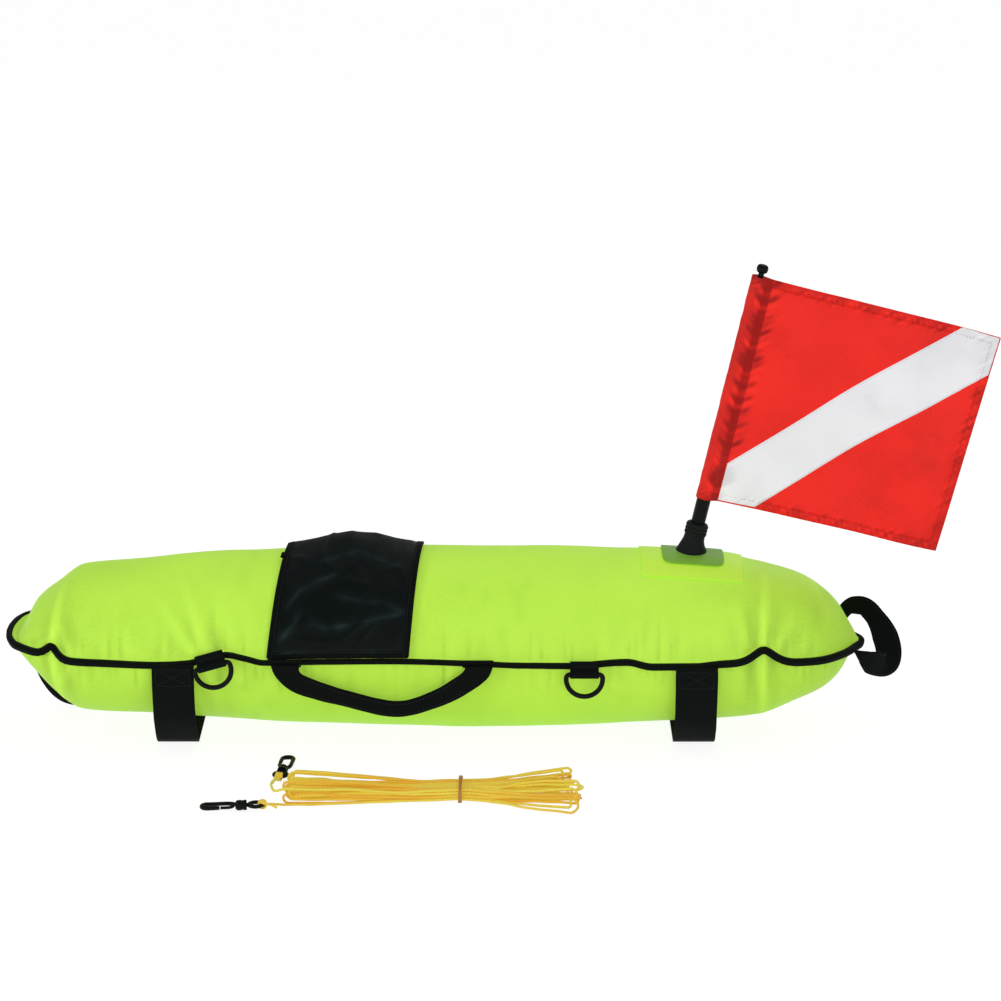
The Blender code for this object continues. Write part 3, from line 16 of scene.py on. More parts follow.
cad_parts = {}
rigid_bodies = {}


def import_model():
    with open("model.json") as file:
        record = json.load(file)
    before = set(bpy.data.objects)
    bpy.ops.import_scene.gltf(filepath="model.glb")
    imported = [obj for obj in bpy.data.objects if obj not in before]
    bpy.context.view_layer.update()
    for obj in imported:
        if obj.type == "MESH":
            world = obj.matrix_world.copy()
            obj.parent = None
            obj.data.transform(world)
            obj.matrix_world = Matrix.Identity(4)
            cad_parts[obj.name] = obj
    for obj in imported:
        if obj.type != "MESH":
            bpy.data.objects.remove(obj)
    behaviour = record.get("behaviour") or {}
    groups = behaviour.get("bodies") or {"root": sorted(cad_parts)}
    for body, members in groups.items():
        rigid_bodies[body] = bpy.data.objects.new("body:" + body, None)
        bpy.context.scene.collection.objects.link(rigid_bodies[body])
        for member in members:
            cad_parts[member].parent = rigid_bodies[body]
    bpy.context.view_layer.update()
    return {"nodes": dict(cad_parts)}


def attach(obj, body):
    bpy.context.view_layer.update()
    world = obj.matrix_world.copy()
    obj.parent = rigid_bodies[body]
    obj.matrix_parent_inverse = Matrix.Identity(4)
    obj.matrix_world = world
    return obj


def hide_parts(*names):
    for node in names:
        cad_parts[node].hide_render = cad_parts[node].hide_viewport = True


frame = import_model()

for loaded in bpy.data.objects:
    loaded.select_set(False)
scene = bpy.context.scene
up_way = np.array((0.0, 0.0, 1.0))
x_way = (1.0, 0.0, 0.0)

# %% [markdown]
# ## The camera
# The photograph looks at the float's long side from a little above, through a long lens,
# so there is hardly any perspective. One pixel of its 1001 is 1.2 mm on the float.
# The lens follows from the distance and the width that the frame has to take in.

# %% Camera
frame_width = 1001 * 0.0012
camera_rise = math.radians(15)
camera_distance = 4.2
look_at = Vector((0.0, 0.0, 0.282))


def add_object(name, data):
    made = bpy.data.objects.new(name, data)
    scene.collection.objects.link(made)
    return made


camera = add_object("camera", bpy.data.cameras.new("camera"))
camera.data.sensor_width = 36.0
camera.data.lens = camera.data.sensor_width * camera_distance / frame_width
camera.data.clip_end = 100.0
camera.location = look_at + camera_distance * Vector((0.0, -math.cos(camera_rise), math.sin(camera_rise)))
camera.rotation_euler = (math.pi / 2 - camera_rise, 0.0, 0.0)
scene.camera = camera
print("lens", round(camera.data.lens, 1), "mm")

# %% [markdown]
# ## Shader sums in plain Python
# A finish is easier to read as a sum than as a web of nodes. `Signal` wraps a node's
# output, and its operators add Math nodes. `Finish` holds one material, and its `node`
# method adds any other node from its type, its settings and the values of its sockets.

# %% Signals and finishes


class Signal:
    """One output of a shader node, which can be used in sums."""

    def __init__(self, finish, socket):
        self.finish = finish
        self.socket = socket

    def __add__(self, other):
        return self.finish.maths("ADD", self, other)

    def __sub__(self, other):
        return self.finish.maths("SUBTRACT", self, other)

    def __rsub__(self, other):
        return self.finish.maths("SUBTRACT", other, self)

    def __mul__(self, other):
        return self.finish.maths("MULTIPLY", self, other)

    def __pow__(self, other):
        return self.finish.maths("POWER", self, other)

    __radd__, __rmul__ = __add__, __mul__


class Finish:
    """A material under construction."""

    def __init__(self, name):
        self.material = bpy.data.materials.new(name)
        self.material.use_nodes = True
        self.tree = self.material.node_tree
        self.shader = self.tree.nodes["Principled BSDF"]

    def put(self, socket, value):
        if isinstance(value, Signal):
            self.tree.links.new(value.socket, socket)
        else:
            socket.default_value = (*value, 1.0) if isinstance(value, tuple) and len(value) == 3 else value

    def node(self, kind, settings=None, output=0, **values):
        """A node of any type. A value is named after its socket, or at and its number."""
        made = self.tree.nodes.new(kind)
        for name, setting in (settings or {}).items():
            setattr(made, name, setting)
        for name, value in values.items():
            numbered = name.startswith("at") and name[2:].isdigit()
            self.put(made.inputs[int(name[2:]) if numbered else name.replace("_", " ")], value)
        return Signal(self, made.outputs[output])

    def maths(self, operation, *values):
        return self.node("ShaderNodeMath", {"operation": operation}, **{"at%d" % i: v for i, v in enumerate(values)})

    def mix(self, factor, first, second):
        """A colour between two colours."""
        return self.node("ShaderNodeMix", {"data_type": "RGBA"}, 2, at0=factor, at6=first, at7=second)

    def cloth_places(self):
        """Metres along and across the cloth, from the piece's own UV map."""
        split = self.node("ShaderNodeSeparateXYZ", Vector=self.node("ShaderNodeTexCoord", output=2))
        return split, Signal(self, split.socket.node.outputs[1])

    def noise(self, scale, detail=2.0, rough=0.5, at=None):
        places = at or self.node("ShaderNodeTexCoord", output=3)
        return self.node("ShaderNodeTexNoise", Vector=places, Scale=scale, Detail=detail, Roughness=rough)

    def ridges(self, run, pitch):
        """A wave from 0 to 1 that repeats every pitch metres."""
        return self.maths("SINE", run * (2 * math.pi / pitch)) * 0.5 + 0.5

    def bump(self, height, depth):
        return self.node("ShaderNodeBump", Height=height, Distance=depth, Strength=1.0)

    def surface(self, **values):
        for name, value in values.items():
            self.put(self.shader.inputs[name.replace("_", " ")], value)
        return self.material


print("shader helpers ready")

# %% [markdown]
# ## Woven cloth
# The float's cover is a coated nylon in a fluorescent yellow-green. Close to, it has a
# plain weave of threads less than a millimetre apart; from afar it looks nearly flat,
# with soft mottling from the coating. The weave is a bump of two crossing waves on the
# piece's own UV map, which is laid out in metres, so threads follow the cloth.
# A fluorescent dye gives back more light than it gets in one colour. The cloth stands in for it with a painted glow, a
# little emission of its own hue that no lamp gives, which also flattens its shading. The red and white cloth and the
# window patch have the same painted glow. Hollows and ridges of the cloth also carry painted shade and painted
# highlight.

# %% Cloth finishes


def woven(name, colour, shade, thread, rough, glow=0.0, mottle=5.0, gloss=0.2, painted_light_scale=(0.45, 1.15), grain=0.9):
    """Cloth with a plain weave; colour and shade are its lighter and darker tones.

    A piece may carry a value per point of painted light: under 0 it is painted shade in the hollows, over 0 painted
    highlight on the ridges. Painted shade takes a colour times the first number of the scale pair, and painted
    highlight one times the second.
    """
    finish = Finish(name)
    along, across = finish.cloth_places()
    weave = finish.ridges(along, thread) * finish.ridges(across, thread)
    patches = finish.noise(mottle, 3.0, 0.55)
    specks = finish.noise(420.0, 2.0, 0.6)
    tone = patches * 0.5 + (specks - 0.5) * grain + weave * 0.18 + 0.17
    tint = finish.mix(tone, shade, colour)
    # Painted light per point: painted shade darkens the hollows and painted highlight lightens the ridges.
    crease = finish.node("ShaderNodeAttribute", {"attribute_name": "crease"}, 2)
    for side, tones, strength in ((crease * -1.0, shade, painted_light_scale[0]), (crease, colour, painted_light_scale[1])):
        share = finish.maths("MINIMUM", finish.maths("MAXIMUM", side, 0.0), 1.0)
        tint = finish.mix(share, tint, tuple(min(1.0, c * strength) for c in tones))
    # Painted glow: emission of the cloth's own colour, light that no lamp gives.
    if glow:
        finish.surface(Emission_Color=tint, Emission_Strength=glow)
    return finish.surface(Base_Color=tint, Roughness=rough - 0.06 + patches * 0.12,
                          Normal=finish.bump(weave + specks * 0.5, 0.00005), Specular_IOR_Level=gloss)


# Each glow here is a painted glow, light of the cloth's own colour that no lamp gives.
green_cloth = woven("green_cloth", (0.51, 0.83, 0.078), (0.41, 0.73, 0.054), 0.0009, 0.5, glow=0.34,
                    painted_light_scale=(0.45, 1.1), grain=1.4)
patch_cloth = woven("window_cloth", (0.52, 0.82, 0.064), (0.43, 0.73, 0.046), 0.0009, 0.42, glow=0.34, grain=1.4)
red_cloth = woven("red_cloth", (0.89, 0.024, 0.013), (0.73, 0.012, 0.008), 0.0007, 0.5, glow=0.3, mottle=9.0,
                  grain=1.4)
white_cloth = woven("white_cloth", (0.92, 0.92, 0.94), (0.82, 0.82, 0.86), 0.0007, 0.48, glow=0.2, mottle=9.0)
# The black cloth takes a strong painted highlight on its ridges, which is the flap's painted sheen.
black_cloth = woven("black_cloth", (0.0036, 0.0072, 0.0068), (0.002, 0.004, 0.0038), 0.0008, 0.46, mottle=14.0,
                    gloss=0.07, painted_light_scale=(0.4, 4.6), grain=1.3)
print("cloth finishes:", green_cloth.name, red_cloth.name, white_cloth.name, black_cloth.name)

# %% [markdown]
# ## Webbing
# The straps, handles and edge tape are black woven webbing. Its threads run in ribs
# along the strap with a weft every 1.6 mm, so the bump is a herringbone: waves along and
# across that are shifted against each other from rib to rib. Edges are a bit worn and
# dusty, which is a slightly paler tone in patches.

# %% Webbing finish


def webbing(name, rib, weft, colour, worn):
    finish = Finish(name)
    along, across = finish.cloth_places()
    slant = finish.ridges(along + finish.maths("PINGPONG", across, rib) * 0.9, weft)
    relief = finish.ridges(across, rib) * 0.55 + slant * 0.35 + finish.noise(900.0, 2.0, 0.6) * 0.2
    dust = finish.noise(24.0, 4.0, 0.6)
    return finish.surface(Base_Color=finish.mix((relief - 0.35) * 0.8 * dust, colour, worn),
                          Roughness=0.62 + dust * 0.25, Normal=finish.bump(relief, 0.00018),
                          Specular_IOR_Level=0.08)


black_webbing = webbing("black_webbing", 0.0022, 0.0016, (0.0015, 0.0032, 0.0025), (0.011, 0.015, 0.013))
edge_tape = webbing("edge_tape", 0.0018, 0.0012, (0.0015, 0.003, 0.0025), (0.011, 0.015, 0.013))
print("webbing finishes:", black_webbing.name, edge_tape.name)

# %% [markdown]
# ## Plastic, rubber, thread and film
# Moulded plastic has a fine spark-eroded grain and is a little glossier where hands rub
# it. Rubber is duller, with a bloom in patches. Thread is a twisted yarn, and the air
# bladder is a plain film that only shows if the covers are opened.

# %% Moulded and rubber finishes


def moulded(name, colour, worn, rough, grain, depth, gloss=0.3):
    finish = Finish(name)
    rubbed = finish.noise(38.0, 4.0, 0.6)
    return finish.surface(Base_Color=finish.mix(rubbed ** 2.0 * 0.7, colour, worn),
                          Roughness=rough - 0.1 + rubbed * 0.25, Specular_IOR_Level=gloss,
                          Normal=finish.bump(finish.noise(grain, 2.0, 0.5), depth))


black_plastic = moulded("black_plastic", (0.002, 0.003, 0.0035), (0.006, 0.007, 0.008), 0.4, 2600.0, 0.00003, 0.11)
black_rubber = moulded("black_rubber", (0.004, 0.006, 0.006), (0.016, 0.018, 0.017), 0.62, 1400.0, 0.00005, 0.15)
band_rubber = moulded("band_rubber", (0.5, 0.22, 0.06), (0.62, 0.33, 0.12), 0.55, 900.0, 0.00006)
coated_patch = moulded("coated_patch", (0.22, 0.5, 0.045), (0.3, 0.62, 0.06), 0.4, 500.0, 0.00006, 0.2)
bladder_film = moulded("bladder_film", (0.5, 0.53, 0.5), (0.6, 0.63, 0.6), 0.4, 300.0, 0.00005)
black_thread = moulded("black_thread", (0.01, 0.011, 0.012), (0.04, 0.042, 0.045), 0.6, 3000.0, 0.00005)
green_thread = moulded("green_thread", (0.5, 0.86, 0.06), (0.4, 0.74, 0.05), 0.55, 3000.0, 0.00005)
red_thread = moulded("red_thread", (0.55, 0.015, 0.01), (0.7, 0.03, 0.02), 0.55, 3000.0, 0.00005)
white_thread = moulded("white_thread", (0.8, 0.8, 0.82), (0.66, 0.66, 0.7), 0.55, 3000.0, 0.00005)
print("moulded finishes ready")

# %% [markdown]
# ## The rope
# The line is a thin braided rope. Its strands cross at a slant, so the bump is made of two waves that climb round the
# rope in opposite ways, on a UV map that counts metres along the rope and turns round it. Its colour drifts between
# lemon and orange-yellow from loop to loop, as dyed rope does. The hollows between strands are painted darker, as
# painted shade, and the rope has a painted glow of its own colour.

# %% Rope finish


def braided(name, light, deep, painted_hollow_shade, pitch):
    finish = Finish(name)
    along, around = finish.cloth_places()
    climb = around * pitch * 3
    braid = finish.maths("MAXIMUM", finish.ridges(along + climb, pitch), finish.ridges(along - climb, pitch))
    drift = finish.noise(22.0, 2.0, 0.5)
    slow = finish.noise(2.2, 1.0, 0.5, at=finish.node("ShaderNodeCombineXYZ", X=along))
    share = finish.node("ShaderNodeClamp", Value=(slow - 0.5) * 5.0 + drift * 0.9)
    # Painted shade: the hollows between strands are mixed towards a darker colour.
    tint = finish.mix((1.0 - braid) * 0.75, finish.mix(share, light, deep), painted_hollow_shade)
    # Painted glow: emission of the rope's own colour, light that no lamp gives.
    return finish.surface(Base_Color=tint, Roughness=0.55 + drift * 0.1,
                          Normal=finish.bump(braid, 0.0003), Sheen_Weight=0.1,
                          Emission_Color=tint, Emission_Strength=0.16)


yellow_rope = braided("yellow_rope", (1.0, 0.88, 0.09), (1.0, 0.57, 0.035), (0.52, 0.28, 0.015), 0.0045)
print("rope finish:", yellow_rope.name)

# %% [markdown]
# ## Stage and light
# The float stands on a plain pale floor in a white studio. The floor glows a little
# towards the camera, so it comes out white while it still takes the float's shadow.
# Four large soft lamps light the float: one above, one on the left, one in front and a
# weak one behind, so that folds show but no shadow is hard.

# %% Floor, lamps and world
bpy.ops.mesh.primitive_plane_add(size=60.0, location=(0.0, 0.0, -0.0002))
floor = bpy.context.object
floor.name = "floor"
bpy.ops.object.transform_apply(location=True, rotation=True, scale=True)
paper = Finish("paper_floor")
seen = paper.node("ShaderNodeLightPath")
rays = seen.socket.node.outputs
for ray in ("Is Glossy Ray", "Is Transmission Ray"):
    seen = paper.maths("MAXIMUM", seen, Signal(paper, rays[ray]))
pale = paper.mix(paper.noise(60.0), (0.8, 0.8, 0.8), (0.83, 0.83, 0.83))
dim = paper.node("ShaderNodeBsdfDiffuse", Color=(0.26, 0.26, 0.26))
white_glow = paper.node("ShaderNodeEmission", Color=(1.0, 1.0, 1.0), Strength=0.88)
shown = paper.node("ShaderNodeMixShader", at0=seen, at1=paper.node("ShaderNodeBsdfDiffuse", Color=pale),
                   at2=paper.node("ShaderNodeAddShader", at0=dim, at1=white_glow))
paper.tree.links.new(shown.socket, paper.tree.nodes["Material Output"].inputs["Surface"])
floor.data.materials.append(paper.material)

scene.world = bpy.data.worlds.new("studio")
scene.world.use_nodes = True
sky = scene.world.node_tree
plain = sky.nodes["Background"]
bright = sky.nodes.new("ShaderNodeBackground")
for backdrop, strength in ((plain, 0.42), (bright, 1.0)):
    backdrop.inputs["Color"].default_value = (1.0, 1.0, 1.0, 1.0)
    backdrop.inputs["Strength"].default_value = strength
choice = sky.nodes.new("ShaderNodeMixShader")
for number, source in enumerate((sky.nodes.new("ShaderNodeLightPath").outputs["Is Camera Ray"],
                                 plain.outputs[0], bright.outputs[0])):
    sky.links.new(source, choice.inputs[number])
sky.links.new(choice.outputs[0], sky.nodes["World Output"].inputs["Surface"])
scene.view_settings.view_transform = "Standard"

for name, place, size, power in (
        ("top_lamp", (0.4, 0.3, 2.6), 1.8, 7.0), ("side_lamp", (-2.7, -1.7, 0.75), 1.0, 21.5),
        ("front_lamp", (0.9, -2.9, 0.55), 1.8, 19.0), ("back_lamp", (1.2, 2.4, 1.6), 1.6, 8.0)):
    lamp = add_object(name, bpy.data.lights.new(name, "AREA"))
    lamp.data.shape = "RECTANGLE"
    lamp.data.size, lamp.data.size_y = size, size * 0.7
    lamp.data.energy = power
    lamp.location = place
    lamp.rotation_euler = (look_at - Vector(place)).to_track_quat("-Z", "Y").to_euler()
print("stage ready")

# %% [markdown]
# ## Mesh helpers for sewn goods
# Cloth and webbing are grids of points, so a few helpers cover them all. `make_piece` turns points and faces into an
# object with a UV map in metres. `make_sheet` gives a grid a thickness with a Solidify modifier. `make_ribbon` sweeps a
# flat rounded band along a path, and `make_rope` sweeps a round one. `settle` says which body a piece rides on and
# which solid it replaces, the same way for every piece.

# %% Piece helpers


def settle(piece, body, solid=None):
    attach(piece, body)
    if solid:
        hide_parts(solid)
    return piece


def make_piece(name, points, faces, finish, uv=None, crease=None):
    """A smooth-shaded mesh object; uv is a pair of metres per point, and the painted shade and highlight one number per
    point.
    """
    mesh = bpy.data.meshes.new(name)
    mesh.from_pydata([tuple(p) for p in points], [], faces)
    mesh.polygons.foreach_set("use_smooth", [True] * len(mesh.polygons))
    if uv is not None:
        layer = mesh.uv_layers.new(name="cloth")
        corner = np.zeros(len(mesh.loops), dtype=np.int32)
        mesh.loops.foreach_get("vertex_index", corner)
        layer.data.foreach_set("uv", np.asarray(uv, dtype=np.float32)[corner].ravel())
    if crease is not None:
        # The painted shade and painted highlight of a piece go on as a value per point.
        painted_light_marks = mesh.attributes.new("crease", "FLOAT", "POINT")
        painted_light_marks.data.foreach_set("value", np.asarray(crease, dtype=np.float32).ravel())
    mesh.materials.append(finish)
    mesh.update()
    return add_object(name, mesh)


def alone(made):
    """Make one object the only selected one, and the active one."""
    for other in bpy.context.view_layer.objects:
        other.select_set(False)
    bpy.context.view_layer.objects.active = made
    made.select_set(True)


def apply_all(made):
    alone(made)
    for modifier in list(made.modifiers):
        bpy.ops.object.modifier_apply(modifier=modifier.name)
    return made


def thicken(made, wall, offset=-1.0):
    """Give a sheet a wall, inward from its faces or to both sides of them."""
    solid = made.modifiers.new("wall", "SOLIDIFY")
    solid.thickness = wall
    solid.offset = offset
    return apply_all(made)


def grid_faces(rows, columns, closed_rows=False, closed_columns=False, flip=False):
    """Quads over a grid of points in row order."""
    faces = []
    for i in range(rows if closed_rows else rows - 1):
        for k in range(columns if closed_columns else columns - 1):
            a, b = i * columns + k, i * columns + (k + 1) % columns
            c, d = (i + 1) % rows * columns + (k + 1) % columns, (i + 1) % rows * columns + k
            faces.append((a, d, c, b) if flip else (a, b, c, d))
    return faces


def make_sheet(name, grid, uv, finish, wall, flip=False, crease=None, offset=-1.0):
    """A grid of points as cloth with its outer face on the grid; the wall grows inward."""
    faces = grid_faces(*grid.shape[:2], flip=flip)
    made = make_piece(name, grid.reshape(-1, 3), faces, finish, uv.reshape(-1, 2), crease)
    return thicken(made, wall, offset)


def run_lengths(path):
    return np.concatenate(([0.0], np.cumsum(np.linalg.norm(np.diff(path, axis=0), axis=1))))


def smooth_run(points, count, closed=False):
    """Evenly spaced points on a Catmull-Rom curve through the given ones."""
    pts = np.array(points, dtype=float)
    ends = (pts[-1:], pts[:2]) if closed else (2 * pts[:1] - pts[1:2], 2 * pts[-1:] - pts[-2:-1])
    pts = np.vstack((ends[0], pts, ends[1]))
    t = np.linspace(0.0, 1.0, 16, endpoint=False)[:, None]
    dense = [0.5 * (2 * b + (c - a) * t + (2 * a - 5 * b + 4 * c - d) * t * t + (3 * b - a - 3 * c + d) * t ** 3)
             for a, b, c, d in zip(pts, pts[1:], pts[2:], pts[3:])]
    dense = np.vstack(dense + [pts[-2:-1]])
    run = run_lengths(dense)
    wanted = np.linspace(0.0, run[-1], count, endpoint=not closed)
    return np.stack([np.interp(wanted, run, dense[:, k]) for k in range(3)], axis=1)


def unit(v):
    v = np.asarray(v, dtype=float)
    return v / np.maximum(np.linalg.norm(v, axis=-1, keepdims=True), np.finfo(float).tiny)


def tangents_of(path, closed=False):
    if closed:
        return unit(np.roll(path, -1, axis=0) - np.roll(path, 1, axis=0))
    ends = np.vstack((path[0], path, path[-1]))
    return unit(ends[2:] - ends[:-2])


def face_outward(made):
    """Turn every face of a closed shape outward."""
    shape = bmesh.new()
    shape.from_mesh(made.data)
    bmesh.ops.recalc_face_normals(shape, faces=shape.faces)
    shape.to_mesh(made.data)
    shape.free()
    return made


def make_swept(name, points, uv, finish, closed, flip):
    """A tube from rings of points, with its two ends closed if it isn't a ring itself."""
    count, sides = points.shape[:2]
    faces = grid_faces(count, sides, closed_rows=closed, closed_columns=True, flip=flip)
    if not closed:
        caps = [tuple(range(sides)), tuple(range((count - 1) * sides, count * sides))]
        faces += [caps[0], caps[1][::-1]] if flip else [caps[0][::-1], caps[1]]
    return face_outward(make_piece(name, points.reshape(-1, 3), faces, finish, uv.reshape(-1, 2)))


def make_ribbon(name, path, wide, width, wall, finish, closed=False, corner=0.35, steps=4):
    """A flat band along a path; wide is the direction of its width, at each point or for all."""
    count = len(path)
    tangents = tangents_of(path, closed)
    wide = np.broadcast_to(wide, path.shape)
    wide = unit(wide - tangents * np.sum(wide * tangents, axis=1, keepdims=True))
    thick = np.cross(wide, tangents)
    width, wall = np.broadcast_to(width, count), np.broadcast_to(wall, count)
    section = []
    for start, (cx, cy) in enumerate(((1, 1), (-1, 1), (-1, -1), (1, -1))):
        for k in range(steps):
            a = math.pi / 2 * (start + k / (steps - 1))
            section.append((cx, cy, math.cos(a), math.sin(a)))
        if start in (0, 2):
            section += [(cx * share, cy, 0.0, cy) for share in (0.5, 0.0, -0.5)]
    points = np.zeros((count, len(section), 3))
    uv = np.zeros((count, len(section), 2))
    radius = wall * corner
    for k, (cx, cy, c, s) in enumerate(section):
        x = (width / 2 - radius) * cx + radius * c
        y = (wall / 2 - radius) * cy + radius * s
        points[:, k] = path + wide * x[:, None] + thick * y[:, None]
        uv[:, k, 0] = run_lengths(path)
        uv[:, k, 1] = x + (0.0 if cy > 0 else 0.0004)
    return make_swept(name, points, uv, finish, closed, flip=True)


def make_rope(name, path, radius, sides, finish, closed=False):
    """A round tube along a path that carries its frame along without twisting."""
    count = len(path)
    tangents = tangents_of(path, closed)
    side = unit(np.cross(tangents[0], up_way if abs(tangents[0][2]) < 0.9 else x_way))
    sides_way = np.zeros((count, 3))
    for i in range(count):
        side = unit(side - tangents[i] * side.dot(tangents[i]))
        sides_way[i] = side
    other = np.cross(tangents, sides_way)
    a = 2 * math.pi * np.arange(sides) / sides
    radius = np.broadcast_to(radius, count)[:, None, None]
    points = path[:, None] + radius * (np.cos(a)[None, :, None] * sides_way[:, None]
                                       + np.sin(a)[None, :, None] * other[:, None])
    uv = np.zeros((count, sides, 2))
    uv[:, :, 0] = run_lengths(path)[:, None]
    uv[:, :, 1] = np.abs(2 * np.arange(sides) / sides - 1)[None, :]
    return make_swept(name, points, uv, finish, closed, flip=False)


print("piece helpers ready")

# %% [markdown]
# ## Stitches
# Every seam of the float is machine-sewn. A stitch is a short raised bit of thread, a
# little fatter in its middle, and lies along the seam with a gap before the next one.
# One helper lays stitches along any path, and joins them into one piece per seam.

# %% Stitch helper
# Each row: place along the stitch, then its thickness and how far it stands proud, as shares.
stitch_profile = ((-0.5, 0.35, 0.0), (-0.32, 0.9, 0.6), (0.0, 1.0, 1.0), (0.32, 0.9, 0.6), (0.5, 0.35, 0.0))
stitch_sides, stitch_proud = 5, 0.35


def make_stitches(name, path, outward, finish, length=0.0026, spacing=0.0036, thread=0.00032, closed=False):
    """A row of stitches on a path; outward points off the cloth at each point."""
    path = np.asarray(path, dtype=float)
    outward = unit(np.broadcast_to(outward, path.shape))
    if closed:
        path, outward = np.vstack((path, path[:1])), np.vstack((outward, outward[:1]))
    run = run_lengths(path)
    number = max(1, int(run[-1] / spacing))
    at = (np.arange(number) + 0.5) * run[-1] / number
    shift, size, lift = np.array(stitch_profile).T
    spots = np.clip(at[:, None] + length * shift, 0.0, run[-1])
    place = np.stack([np.interp(spots, run, path[:, k]) for k in range(3)], axis=-1)
    off = unit(np.stack([np.interp(at, run, outward[:, k]) for k in range(3)], axis=-1))
    side = unit(np.cross(unit(place[:, -1] - place[:, 0]), off))
    a = 2 * math.pi * np.arange(stitch_sides)[:, None] / stitch_sides
    ring = np.cos(a) * side[:, None] + np.sin(a) * off[:, None]
    centres = place + off[:, None] * (thread * stitch_proud * lift)[:, None]
    points = centres[:, :, None] + (thread * size)[:, None, None] * ring[:, None]
    step = len(size) * stitch_sides
    stitch = grid_faces(len(size), stitch_sides, closed_columns=True, flip=True)
    stitch += [tuple(range(stitch_sides)), tuple(range(step - stitch_sides, step))[::-1]]
    faces = [tuple(base + corner for corner in face) for base in range(0, number * step, step) for face in stitch]
    return face_outward(make_piece(name, points.reshape(-1, 3), faces, finish))


print("stitch helper ready")

# %% [markdown]
# ## The free line comes first
# A hank of thin rope lies on the floor in front of the float, folded to and fro in two
# layers and held by a rubber band at its waist. The route repeats the one that the
# solids follow: ten loops side by side, then ten back on top of them, each a long flat
# loop that opens out at its ends. The fans at the ends come from a spacing that grows
# away from the waist. The whole length that the photograph shows is in these turns.

# %% Sizes of the hank
rope_diameter = 0.003
hank_left_x, hank_waist_x, hank_right_x = -0.244, -0.046, 0.088
hank_y = -0.265
hank_loops = 10
# Spacing of the loops, half their opening across and half their height: left, waist, right.
hank_pitch, hank_opening, hank_level = (0.006, 0.0037, 0.01), (0.0035, 0.0, 0.00575), (0.004, 0.00185, 0.0044)
layer_gap = 0.0037
rope_floor = rope_diameter / 2 + 0.0002
waist_lift, waist_reach, waist_flat = 0.0024, 0.03, 0.008
climb_side = 1.12
clip_lead, clip_height = 0.024, 0.0062
stray_loops = (2, 8)


def ease(t):
    """A smooth step from 0 to 1."""
    t = np.clip(t, 0.0, 1.0)
    return t * t * (3 - 2 * t)


def wander(x, y=0.0, z=0.0):
    """Blender's smooth noise, from about -1 to 1, at one place or over arrays of them."""
    return np.vectorize(lambda a, b, c: noise.noise((a, b, c)), otypes=[float])(x, y, z)


def hank_value(x, values):
    left, waist, right = values
    if x < hank_waist_x:
        return left + (waist - left) * ease((x - hank_left_x) / (hank_waist_x - hank_left_x) * 1.15)
    return waist + (right - waist) * ease((x - hank_waist_x) / (hank_right_x - hank_waist_x))


def hank_strand(x, index, layer, level):
    """Place of one strand: its index across, layer 0 or 1, and level -1 low or +1 high."""
    half = hank_value(x, hank_level)
    near = max(0.0, abs(x - hank_waist_x) - waist_flat) / waist_reach
    lift = waist_lift * math.exp(-near * near)
    lean = 1.0 if layer == 0 else -1.0
    y = (hank_y + (index - (hank_loops - 1) / 2) * hank_value(x, hank_pitch)
         + lean * level * hank_value(x, hank_opening))
    return np.array((x, y, rope_floor + lift + half + level * half + layer * (2 * half + layer_gap)))


def loose_strand(x, index, layer, level):
    """A strand that has strayed from its neat place, except at the waist."""
    key = Vector((index * 3.7 + 0.3, layer * 5.1 + level * 1.3, x * 9.0))
    away = ease((abs(x - hank_waist_x) - 0.018) / 0.075)
    half, pitch = hank_value(x, hank_level), hank_value(x, hank_pitch)
    side = noise.noise(key) * 1.3 * pitch
    rise = noise.noise(key + Vector((40.0, 0.0, 0.0))) * 1.4 * half
    if layer == 1 and index in stray_loops:
        side += level * pitch * 1.2
        rise += half * 0.8
    place = hank_strand(x, index, layer, level) + np.array((0.0, side * away, rise * away))
    place[2] = max(place[2], rope_floor + 0.0002)
    return place


def bight(start, end, outward, steps=6):
    middle, arm = (start + end) / 2, (start - end) / 2
    size = np.linalg.norm(arm)
    return [middle + arm * math.cos(a) + np.array((outward * size * math.sin(a), 0.0, 0.0))
            for a in (math.pi * k / steps for k in range(1, steps))]


def loop_ends(place):
    """Where one loop turns round, at the left and at the right: real loops differ."""
    left = noise.noise((place * 1.9 + 0.4, 2.0, 0.0))
    right = noise.noise((place * 2.3 + 0.7, 8.0, 0.0))
    return hank_left_x + 0.011 * (0.5 + left), hank_right_x - 0.036 * max(0.0, 0.35 + right)


def hank_route():
    shares = (0.0, 0.1, 0.22, 0.36, 0.48, 0.572, 0.62, 0.72, 0.86, 1.0)
    order = [(0, i) for i in range(hank_loops)] + [(1, i) for i in reversed(range(hank_loops))]
    route = []
    for place, (layer, index) in enumerate(order):
        left, right = loop_ends(place)
        if place == 0:
            left = hank_left_x
        xs = [left + (right - left) * s for s in shares]
        low = [loose_strand(x, index, layer, -1.0) for x in xs]
        high = [loose_strand(x, index, layer, 1.0) for x in reversed(xs)]
        if place == 0:
            low[0] = hank_strand(left, index, layer, -1.0)
        if place + 1 == len(order):
            high[-1] = hank_strand(hank_left_x, index, layer, 1.0)
        if layer == 0 and index == hank_loops - 1:
            high = []
            for x in reversed(xs):
                back = (hank_right_x - x) / (hank_right_x - hank_left_x)
                flat = hank_strand(x, index + ease(back / 0.38) * climb_side, 0, 1.0)
                raised = hank_strand(x, index + climb_side, 1, 1.0)
                high.append(flat + (raised - flat) * ease((back - 0.38) / 0.26))
        route += low + bight(low[-1], high[0], 1.0) + high
        if place + 1 < len(order):
            next_layer, next_index = order[place + 1]
            following = loose_strand(loop_ends(place + 1)[0], next_index, next_layer, -1.0)
            route += bight(high[-1], following, -1.0)
    return route


